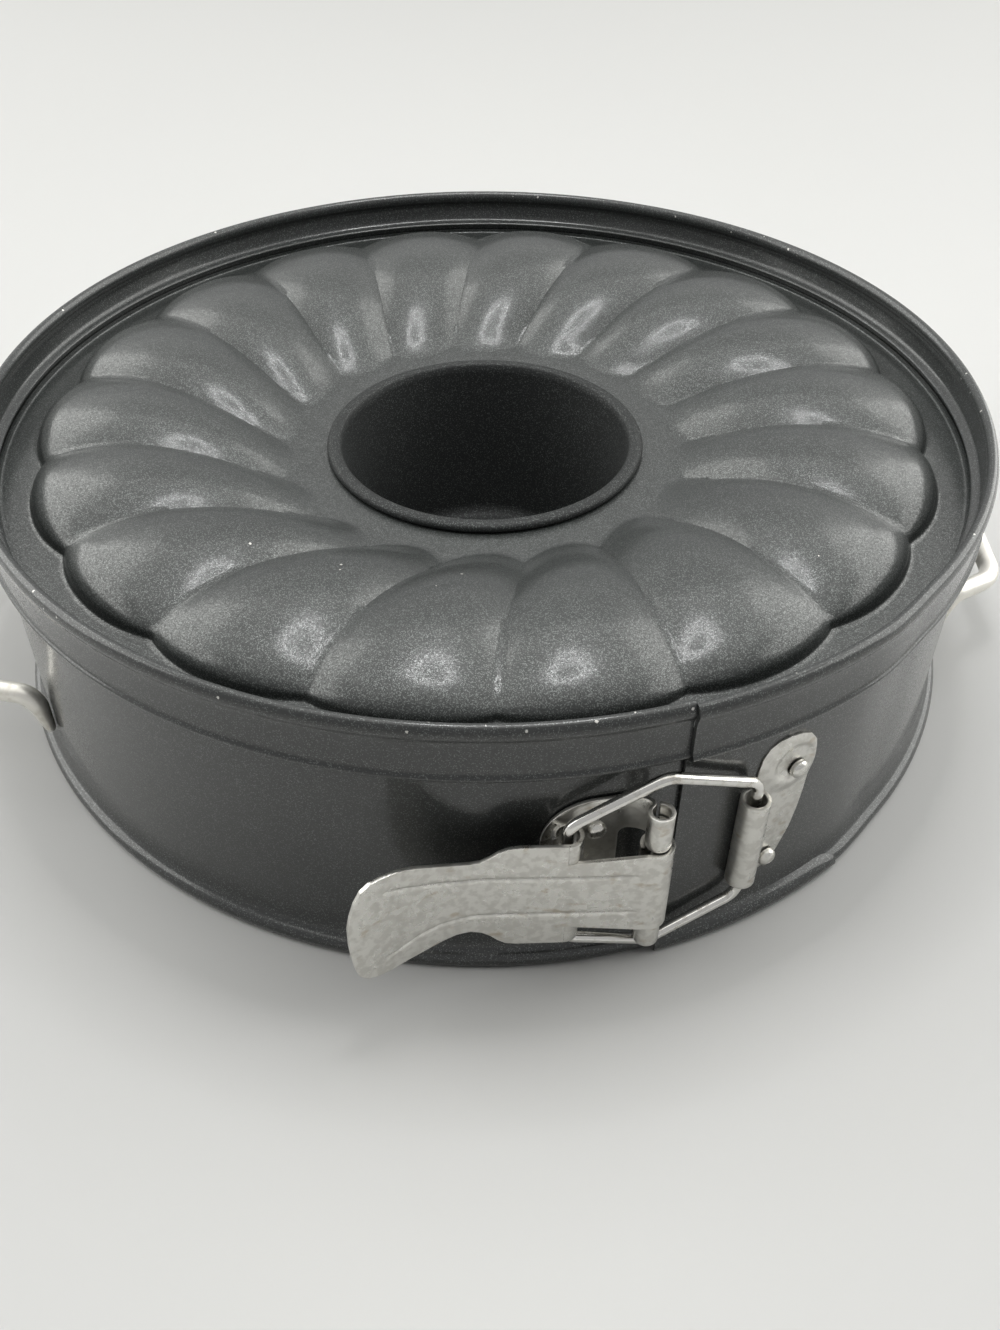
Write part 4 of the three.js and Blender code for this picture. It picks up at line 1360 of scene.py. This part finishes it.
@dataclass
class CatchPlate:
    """The plate on the right end: a dished ear, a foot and a barrel for the bail."""

    angle: float = 25.4
    barrel_half: float = 12.2
    curl_radius: float = 2.3
    dish_setback: float = 9.9
    dish_rise: float = 16.2
    dish_radius: float = 4.7
    dish_height: float = 0.75
    rivet_setback: float = 11.4
    rivet_rise: float = 13.6
    lower_rivet_setback: float = 7.8
    rivet_drop: float = 11.6
    inside: float = 120.9

    def mapping(self, along: np.ndarray, up: np.ndarray) -> np.ndarray:
        """Lays the flat plate's inner face on the band and rolls its barrel."""
        turn = np.clip(-along, 0, None) / self.curl_radius
        away = np.hypot(along - self.dish_setback, up - self.dish_rise)
        wall_side = np.clip((away - self.dish_radius + 0.9) / 1.2, 0, 1)
        dish = self.dish_height * wall_side**2 * (3 - 2 * wall_side) * np.clip((8.6 - away) / 3.0, 0, 1)
        wall = np.clip(along, 0, None) / WALL_RADIUS
        radius = self.inside + dish
        side = np.where(turn > 0, -self.curl_radius * np.sin(turn), radius * np.sin(wall))
        rolled = self.inside + self.curl_radius * (1 - np.cos(turn))
        out = np.where(turn > 0, rolled, radius * np.cos(wall))
        return on_wall(self.angle, side, out, up)

    def build(self, material: bpy.types.Material) -> Piece:
        """Presses the plate.

        Args:
            material: Its plating.

        Returns:
            The piece.
        """
        roll = -math.radians(300) * self.curl_radius
        outline = [(roll, self.barrel_half), (0.6, self.barrel_half), (1.2, 13.4)]
        outline += [(1.5, 17.4), (2.1, 20.2), (3.4, 22.4), (5.3, 23.5), (7.8, 23.9), (10.9, 23.5)]
        outline += [(13.2, 22.4), (14.8, 20.1), (15.3, 15.9), (15.3, 9.6), (15.0, 4.3), (14.4, -0.6)]
        outline += [(13.3, -6.0), (12.1, -9.0), (10.6, -12.6), (9.2, -14.7), (7.0, -15.4), (4.3, -15.0)]
        outline += [(self.curl_radius, -self.barrel_half), (roll, -self.barrel_half)]
        patch = SheetPatch(outline, (0.45, 0.6))
        shape = dressed(bent_sheet("catch_plate_skin", [(patch, self.mapping)]), material)
        return Piece(shape, Body.FREE_END, Slot.PLATED, ("catch_plate",))

    def axis(self) -> np.ndarray:
        """Gives the middle of the barrel, in plan."""
        return polar(self.angle, self.inside + self.curl_radius, 0.0)


@dataclass
class Wires:
    """What is bent from round wire: the bail of the latch and the two handles."""

    lever: LatchLever
    catch: CatchPlate
    bail_wire: float = 2.4
    bail_rise: float = 27.0
    bail_drop: float = 22.6
    bail_kink: float = 0.53
    bail_bow: float = 2.0
    bail_shoulder: float = 17.0
    bail_lead: float = 2.0
    bail_tuck: float = 3.2
    bail_bend: float = 4.0
    bail_steps: int = 9
    bail_sides: int = 20
    handle_wire: float = 5.0
    handle_height: float = 20.0
    handle_foot: float = 10.5
    handle_half: float = 42.0
    handle_shoulder: float = 36.0
    handle_flat: float = 14.4
    handle_reach: float = 15.55
    handle_crown: float = 4.5
    handle_bends: tuple[float, ...] = (0.0, 4.2, 9.0, 12.0)
    handle_steps: int = 12
    handle_sides: int = 24
    press_reach: float = 0.75
    press_depth: float = 0.45

    def tree(self) -> bpy.types.NodeTree:
        """Builds the tree that rounds a path's corners and runs a wire along it.

        Returns:
            The tree.
        """
        kinds = (("Diameter", "Float"), ("Bend Steps", "Int"), ("Sides", "Int"))
        graph = GeometryTree("bent_wire", [(label, f"NodeSocket{kind}") for label, kind in kinds])
        bends = {
            "Curve": graph.given.outputs["Geometry"],
            "Count": graph.input("Bend Steps"),
            "Radius": graph.node("GeometryNodeInputRadius").outputs[0],
            "Limit Radius": True,
        }
        path = graph.node("GeometryNodeFilletCurve", {"mode": "POLY"}, bends)
        even = graph.node("GeometryNodeSetCurveRadius", None, {"Curve": path.outputs[0], "Radius": 1.0})
        round_ = {"Resolution": graph.input("Sides"), "Radius": graph.input("Diameter") * 0.5}
        section = graph.node("GeometryNodeCurvePrimitiveCircle", {"mode": "RADIUS"}, round_)
        sweep = {"Curve": even.outputs[0], "Profile Curve": section.outputs[0], "Fill Caps": True}
        return graph.end(graph.node("GeometryNodeCurveToMesh", None, sweep).outputs[0])

    def run(
        self,
        name: str,
        points: np.ndarray,
        bends: Sequence[float],
        sizes: tuple[float, int, int],
        material: bpy.types.Material,
    ) -> bpy.types.Object:
        """Bends one wire.

        Args:
            name: The object's name.
            points: The path's corners in millimetres.
            bends: The radius of the bend at each corner, in millimetres.
            sizes: The wire's diameter in millimetres, the steps of a bend and the wire's sides.
            material: Its steel.

        Returns:
            The object, a plain mesh.
        """
        wire, steps, sides = sizes
        curve = bpy.data.curves.new(name, "CURVE")
        curve.dimensions = "3D"
        spline = curve.splines.new("POLY")
        spline.points.add(len(points) - 1)
        for point, place, bend in zip(spline.points, in_frame(points), bends):
            point.co = (*place, 1.0)
            point.radius = bend * MM
        shape = placed(name, curve)
        inputs = {"Diameter": wire * MM, "Bend Steps": steps, "Sides": sides, "Material": material}
        with_tree(shape, self.tree(), inputs)
        made = dressed(baked(shape), material)
        made.data.set_sharp_from_angle(angle=FOLD)
        return made

    def bail(self, material: bpy.types.Material) -> Piece:
        """Bends the bail through the barrel, out to its kinks and into the lugs.

        Args:
            material: Its steel.

        Returns:
            The piece.
        """
        lug, barrel = self.lever.lug()[:2], self.catch.axis()[:2]
        kink = barrel + (lug - barrel) * self.bail_kink
        kink = kink * (1 + self.bail_bow / np.linalg.norm(kink))
        stop = self.lever.lug_half + FIT_GAP

        def arm(side: float, rise: float) -> list[tuple[float, float, float]]:
            """Lists one arm's corners from the lug to the barrel."""
            heights = (stop - self.bail_tuck, stop + self.bail_lead, rise, self.bail_shoulder)
            spots = (lug, lug, kink, barrel)
            return [(spot[0], spot[1], LATCH_HEIGHT + side * height) for spot, height in zip(spots, heights)]

        path = np.array(arm(1, self.bail_rise) + arm(-1, self.bail_drop)[::-1])
        sizes = (self.bail_wire, self.bail_steps, self.bail_sides)
        bends = (self.bail_bend,) * len(path)
        shape = self.run("wire_bail_skin", path, bends, sizes, material)
        return Piece(shape, Body.BAIL, Slot.WIRE, ("wire_bail",))

    def handle(self, name: str, angle: float, body: Body, material: bpy.types.Material) -> Piece:
        """Bends one handle and flattens its feet on the wall.

        Args:
            name: The node that it stands for.
            angle: Where it is, in degrees from the front.
            body: What it is welded to.
            material: Its steel.

        Returns:
            The piece.
        """
        seat = WALL_RADIUS + FIT_GAP + self.handle_wire / 2
        rooted = math.sqrt(seat**2 - self.handle_half**2)
        crown = WALL_RADIUS + self.handle_reach
        half = [
            (self.handle_half, -rooted, self.handle_height - self.handle_foot),
            (self.handle_half, -rooted, self.handle_height),
            (self.handle_shoulder, self.handle_crown - crown, self.handle_height),
            (self.handle_flat, -crown, self.handle_height),
        ]
        mirrored = [(-x, y, z) for x, y, z in half]
        path = np.array(half + mirrored[::-1])
        turn = math.radians(angle)
        cosine, sine = math.cos(turn), math.sin(turn)
        about = np.array(((cosine, sine, 0), (-sine, cosine, 0), (0, 0, 1)))
        bends = self.handle_bends + self.handle_bends[::-1]
        sizes = (self.handle_wire, self.handle_steps, self.handle_sides)
        shape = self.run(f"{name}_skin", path @ about, bends, sizes, material)
        self.flatten(shape)
        return Piece(shape, body, Slot.WIRE, (name,))

    def flatten(self, shape: bpy.types.Object) -> None:
        """Presses a handle's feet against the wall, more towards their ends."""
        low = (self.handle_height - self.handle_foot) * MM
        reach = self.press_reach * self.handle_foot * MM
        for vertex in shape.data.vertices:
            spot = Vector((vertex.co.x, vertex.co.y - AXIS_SHIFT * MM))
            away = spot.length - (WALL_RADIUS + FIT_GAP) * MM
            share = 1.0 - min(max((vertex.co.z - low) / reach, 0.0), 1.0)
            pressed = spot * ((spot.length - self.press_depth * share * away) / spot.length)
            vertex.co.x = pressed.x
            vertex.co.y = pressed.y + AXIS_SHIFT * MM


@dataclass
class RivetSeat:
    """Where a rivet of the part sits: its angle, its height and the radius of the plate's face there."""

    node: str
    angle: float
    height: float
    radius: float


@dataclass
class Rivets:
    """The domed rivets of the two plates."""

    head: float = 2.1
    dome: float = 1.3
    sides: int = 32
    crease: float = 60.0

    def pattern(self) -> bpy.types.Object:
        """Turns one rivet head about Z, seated on the origin.

        Returns:
            The object, which the tree copies.
        """
        head, dome = self.head * MM, self.dome * MM
        outline = [(1.0, -0.35), (1.0, 0.12), (0.97, 0.3), (0.86, 0.55), (0.66, 0.78), (0.42, 0.93)]
        outline += [(0.2, 0.97), (0.1, 0.94), (0.02, 0.93)]
        turns = [math.tau * index / self.sides for index in range(self.sides)]
        maker = bmesh.new()
        rings = []
        for radius, rise in outline:
            rings.append([
                maker.verts.new((head * radius * math.cos(turn), head * radius * math.sin(turn), dome * rise))
                for turn in turns
            ])
        for low, high in zip(rings, rings[1:]):
            for index in range(self.sides):
                side = (index + 1) % self.sides
                maker.faces.new((low[index], low[side], high[side], high[index]))
        maker.faces.new(rings[-1])
        maker.faces.new(rings[0][::-1])
        mesh = bpy.data.meshes.new("rivet_pattern")
        maker.to_mesh(mesh)
        maker.free()
        return placed("rivet_pattern", mesh)

    def tree(self) -> bpy.types.NodeTree:
        """Builds the tree that sets a rivet on each point, along the point's own direction.

        Returns:
            The tree.
        """
        graph = GeometryTree("set_rivets", [("Pattern", "NodeSocketObject")])
        pattern = graph.node("GeometryNodeObjectInfo", None, {"Object": graph.given.outputs["Pattern"]})
        points = graph.node("GeometryNodeMeshToPoints", None, {"Mesh": graph.given.outputs["Geometry"]})
        kind = {"data_type": "FLOAT_VECTOR"}
        outwards = graph.node("GeometryNodeInputNamedAttribute", kind, {"Name": AIM})
        aim = graph.node("FunctionNodeAlignRotationToVector", {"axis": "Z"}, {"Vector": outwards.outputs[0]})
        copies = {
            "Points": points.outputs[0],
            "Instance": pattern.outputs["Geometry"],
            "Rotation": aim.outputs[0],
        }
        return graph.end(graph.node("GeometryNodeInstanceOnPoints", None, copies).outputs[0])

    def build(self, name: str, seats: Sequence[RivetSeat], body: Body, material: bpy.types.Material) -> Piece:
        """Sets one plate's rivets.

        Args:
            name: The object's name.
            seats: Where each rivet sits.
            body: What the plate is on.
            material: Their steel.

        Returns:
            The piece.
        """
        points = np.array([polar(seat.angle, seat.radius, seat.height) for seat in seats])
        shape = mesh_object(name, points, [])
        aim = shape.data.attributes.new(AIM, "FLOAT_VECTOR", "POINT")
        aim.data.foreach_set("vector", np.array([polar(seat.angle, 1.0, 0.0) for seat in seats]).ravel())
        pattern = self.pattern()
        with_tree(shape, self.tree(), {"Pattern": pattern, "Material": material})
        made = dressed(baked(shape), material)
        made.data.set_sharp_from_angle(angle=math.radians(self.crease))
        bpy.data.objects.remove(pattern)
        return Piece(made, body, Slot.PLATED, tuple(seat.node for seat in seats))


@dataclass
class Studio:
    """The table, the lights and the camera of the photograph."""

    focal_pixels: float = 1235.695
    long_side: float = 1330.0
    elevation: float = 42.0318
    yaw: float = 0.8759
    roll: float = 0.3766
    eye: tuple[float, float, float] = (0.0, -273.089, 221.710)
    tint: tuple[float, float, float] = (1.0, 1.0, 0.965)
    aim: tuple[float, float, float] = (0.0, 0.0, 0.04)
    table_half: float = 4.0
    table_drop: float = 0.0001
    ring_steps: int = 96

    def axes(self) -> tuple[Vector, Vector, Vector]:
        """Gives the camera's right, up and forward directions."""
        tilt, yaw, roll = math.radians(self.elevation), math.radians(self.yaw), math.radians(self.roll)
        forward = Vector((math.sin(yaw) * math.cos(tilt), math.cos(yaw) * math.cos(tilt), -math.sin(tilt)))
        level = Vector((math.cos(yaw), -math.sin(yaw), 0.0))
        up = level.cross(forward)
        right = math.cos(roll) * level + math.sin(roll) * up
        return right, math.cos(roll) * up - math.sin(roll) * level, forward

    def place(self) -> Vector:
        """Gives the camera's place."""
        return Vector(in_frame(np.array(self.eye))[0])

    def camera(self) -> None:
        """Sets the camera."""
        lens = bpy.data.cameras.new("photo_camera")
        lens.sensor_width = 36.0
        lens.lens = self.focal_pixels * lens.sensor_width / self.long_side
        lens.clip_start = 0.01
        made = placed("photo_camera", lens)
        right, up, forward = self.axes()
        turn = Matrix((right, up, -forward)).transposed()
        made.matrix_world = Matrix.Translation(self.place()) @ turn.to_4x4()
        bpy.context.scene.camera = made

    def table(self) -> None:
        """Lays the table."""
        half = self.table_half
        mesh = bpy.data.meshes.new("table_top")
        corners = ((-half, -half), (half, -half), (half, half), (-half, half))
        mesh.from_pydata([(*corner, -self.table_drop) for corner in corners], [], [(0, 1, 2, 3)])
        dressed(placed("table_top", mesh), TableTop("pale_table").material())

    def panel(self, name: str, place: Sequence[float], size: Point2, power: float) -> None:
        """Hangs one soft light that looks at the pan.

        Args:
            name: The light's name.
            place: Where it hangs.
            size: Its width and height.
            power: Its power in watts.
        """
        light = bpy.data.lights.new(name, "AREA")
        light.shape = "RECTANGLE"
        light.size, light.size_y = size
        light.energy = power
        light.color = self.tint
        made = placed(name, light)
        made.location = place
        made.rotation_euler = (Vector(self.aim) - Vector(place)).to_track_quat("-Z", "Y").to_euler()

    def ring_light(self, centre: Sequence[float], radius: float, width: float, strength: float) -> None:
        """Hangs a level ring of light over the pan.

        Args:
            centre: Its middle.
            radius: The ring's middle radius.
            width: How wide it is.
            strength: How bright it is.
        """
        steps = self.ring_steps
        turns = [math.tau * index / steps for index in range(steps)]
        spots = [
            (centre[0] + reach * math.cos(turn), centre[1] + reach * math.sin(turn), centre[2])
            for reach in (radius - width / 2, radius + width / 2)
            for turn in turns
        ]
        beside = [(index, (index + 1) % steps) for index in range(steps)]
        faces = [(here, side, steps + side, steps + here) for here, side in beside]
        mesh = bpy.data.meshes.new("ring_light")
        mesh.from_pydata(spots, [], faces)
        made = placed("ring_light", mesh)
        glow = bpy.data.materials.new("ring_glow")
        glow.use_nodes = True
        graph = Graph(glow.node_tree)
        graph.tree.nodes.clear()
        lamp = graph.node("ShaderNodeEmission", None, {"Strength": strength})
        graph.node("ShaderNodeOutputMaterial", None, {"Surface": lamp.outputs[0]})
        dressed(made, glow)
        made.visible_camera = False

    def world(self, level: float) -> None:
        """Fills the room with an even light, and shows a pale background."""
        world = bpy.data.worlds.new("room")
        world.use_nodes = True
        graph = Graph(world.node_tree)
        graph.tree.nodes.clear()
        white = (1.0, 1.0, 1.0, 1.0)
        light, pale = (
            graph.node("ShaderNodeBackground", None, {"Color": white, "Strength": strength}).outputs[0]
            for strength in (level, BACKGROUND)
        )
        sky = graph.node("ShaderNodeMixShader", None, {0: graph.seen(), 1: light, 2: pale})
        graph.node("ShaderNodeOutputWorld", None, {"Surface": sky.outputs[0]})
        bpy.context.scene.world = world

    def build(self) -> None:
        """Sets the whole studio."""
        self.camera()
        self.table()
        self.panel("top_panel", (0.0, 0.1, 0.95), (1.2, 1.2), 4.3)
        self.panel("back_panel", (0.0, 1.6, 1.35), (3.0, 1.35), 4.6)
        self.panel("left_panel", (-1.4, 0.5, 0.8), (2.0, 1.5), 24.0)
        self.panel("right_panel", (1.4, 0.5, 0.8), (2.0, 1.5), 24.0)
        self.ring_light((0.02, 0.055, 0.5), 0.07, 0.024, 21.0)
        self.world(0.09)
        bpy.context.scene.view_settings.view_transform = "Standard"


def rivet_seats(base: LatchBase, catch: CatchPlate) -> tuple[list[RivetSeat], list[RivetSeat]]:
    """Lists where the rivets sit.

    Args:
        base: The latch's base plate.
        catch: The catch plate.

    Returns:
        The seats on the base plate and on the catch plate.
    """
    base_face = WALL_RADIUS + FIT_GAP + PLATE_SHEET
    catch_face = catch.inside + PLATE_SHEET
    left = base.angle - wall_angle(base.rivet_setback)
    upper = catch.angle + wall_angle(catch.rivet_setback)
    lower = catch.angle + wall_angle(catch.lower_rivet_setback)
    on_base = [
        RivetSeat("latch_base_rivet_upper", left, LATCH_HEIGHT + base.rivet_rise, base_face),
        RivetSeat("latch_base_rivet_lower", left, LATCH_HEIGHT - base.rivet_drop, base_face),
    ]
    on_catch = [
        RivetSeat("catch_rivet_upper", upper, LATCH_HEIGHT + catch.rivet_rise, catch_face),
        RivetSeat("catch_rivet_lower", lower, LATCH_HEIGHT - catch.rivet_drop, catch_face),
    ]
    return on_base, on_catch


def main() -> None:
    """Builds the pieces, hands them over and sets the studio."""
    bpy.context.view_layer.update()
    dome_coat = CoatedSheet("coated_domes", chip_share=0.02)
    # The band's coat is a darker copy of the domes' coat: its lower colour is painted shade that darkens the
    # walls.
    shaded_band_coat = CoatedSheet(
        "coated_band", (0.011, 0.0132, 0.0126, 1.0),
        fleck_share=0.1, coat_roughness=0.13, sparkle=0.4, chip_share=0.6,
    )
    # The tube's coat is a darker, duller copy of the domes' coat: painted shade for the dark inside of the
    # tube.
    shaded_tube_coat = CoatedSheet(
        "coated_tube", (0.008, 0.0096, 0.0096, 1.0),
        fleck_share=0.1, roughness=0.66, coat=0.1, coat_roughness=0.4,
    )
    # The handles' steel is a paler, more matte copy of the wire: painted light that brightens the handles.
    lit_handle_steel = DrawnWire("handle_wire", (0.88, 0.86, 0.8, 1.0), (0.72, 0.69, 0.62, 1.0), 0.34, 0.8)
    domes, wall, tube = dome_coat.material(), shaded_band_coat.material(), shaded_tube_coat.material()
    plating = PlatedSteel("plated_steel").material()
    bright, lit_handle_wire = DrawnWire("bright_wire").material(), lit_handle_steel.material()

    base_latch = LatchBase()
    lever = LatchLever(base_latch)
    catch = CatchPlate()
    wires = Wires(lever, catch)
    band = RingBand()
    on_base, on_catch = rivet_seats(base_latch, catch)
    stiff, spring = band.build(wall)
    pieces = [
        FlutedBase().build(domes),
        CentreTube().build(tube),
        *stiff,
        base_latch.build(plating),
        base_latch.build_pin(bright),
        lever.build(plating),
        catch.build(plating),
        Rivets().build("latch_base_rivets_skin", on_base, Body.RING, plating),
        Rivets().build("catch_rivets_skin", on_catch, Body.FREE_END, plating),
        wires.bail(bright),
        wires.handle("handle_left", -81.0, Body.RING, lit_handle_wire),
        wires.handle("handle_right", 99.0, Body.FREE_END, lit_handle_wire),
    ]
    for piece in pieces:
        piece.hand_over()
    start, end = band.spring_points()
    spring.hand_over_bent(Body.FREE_END, tuple(start), tuple(end))
    Studio().build()


if __name__ == "__main__":
    logging.basicConfig(level=logging.INFO, format="%(name)s: %(message)s")
    main()
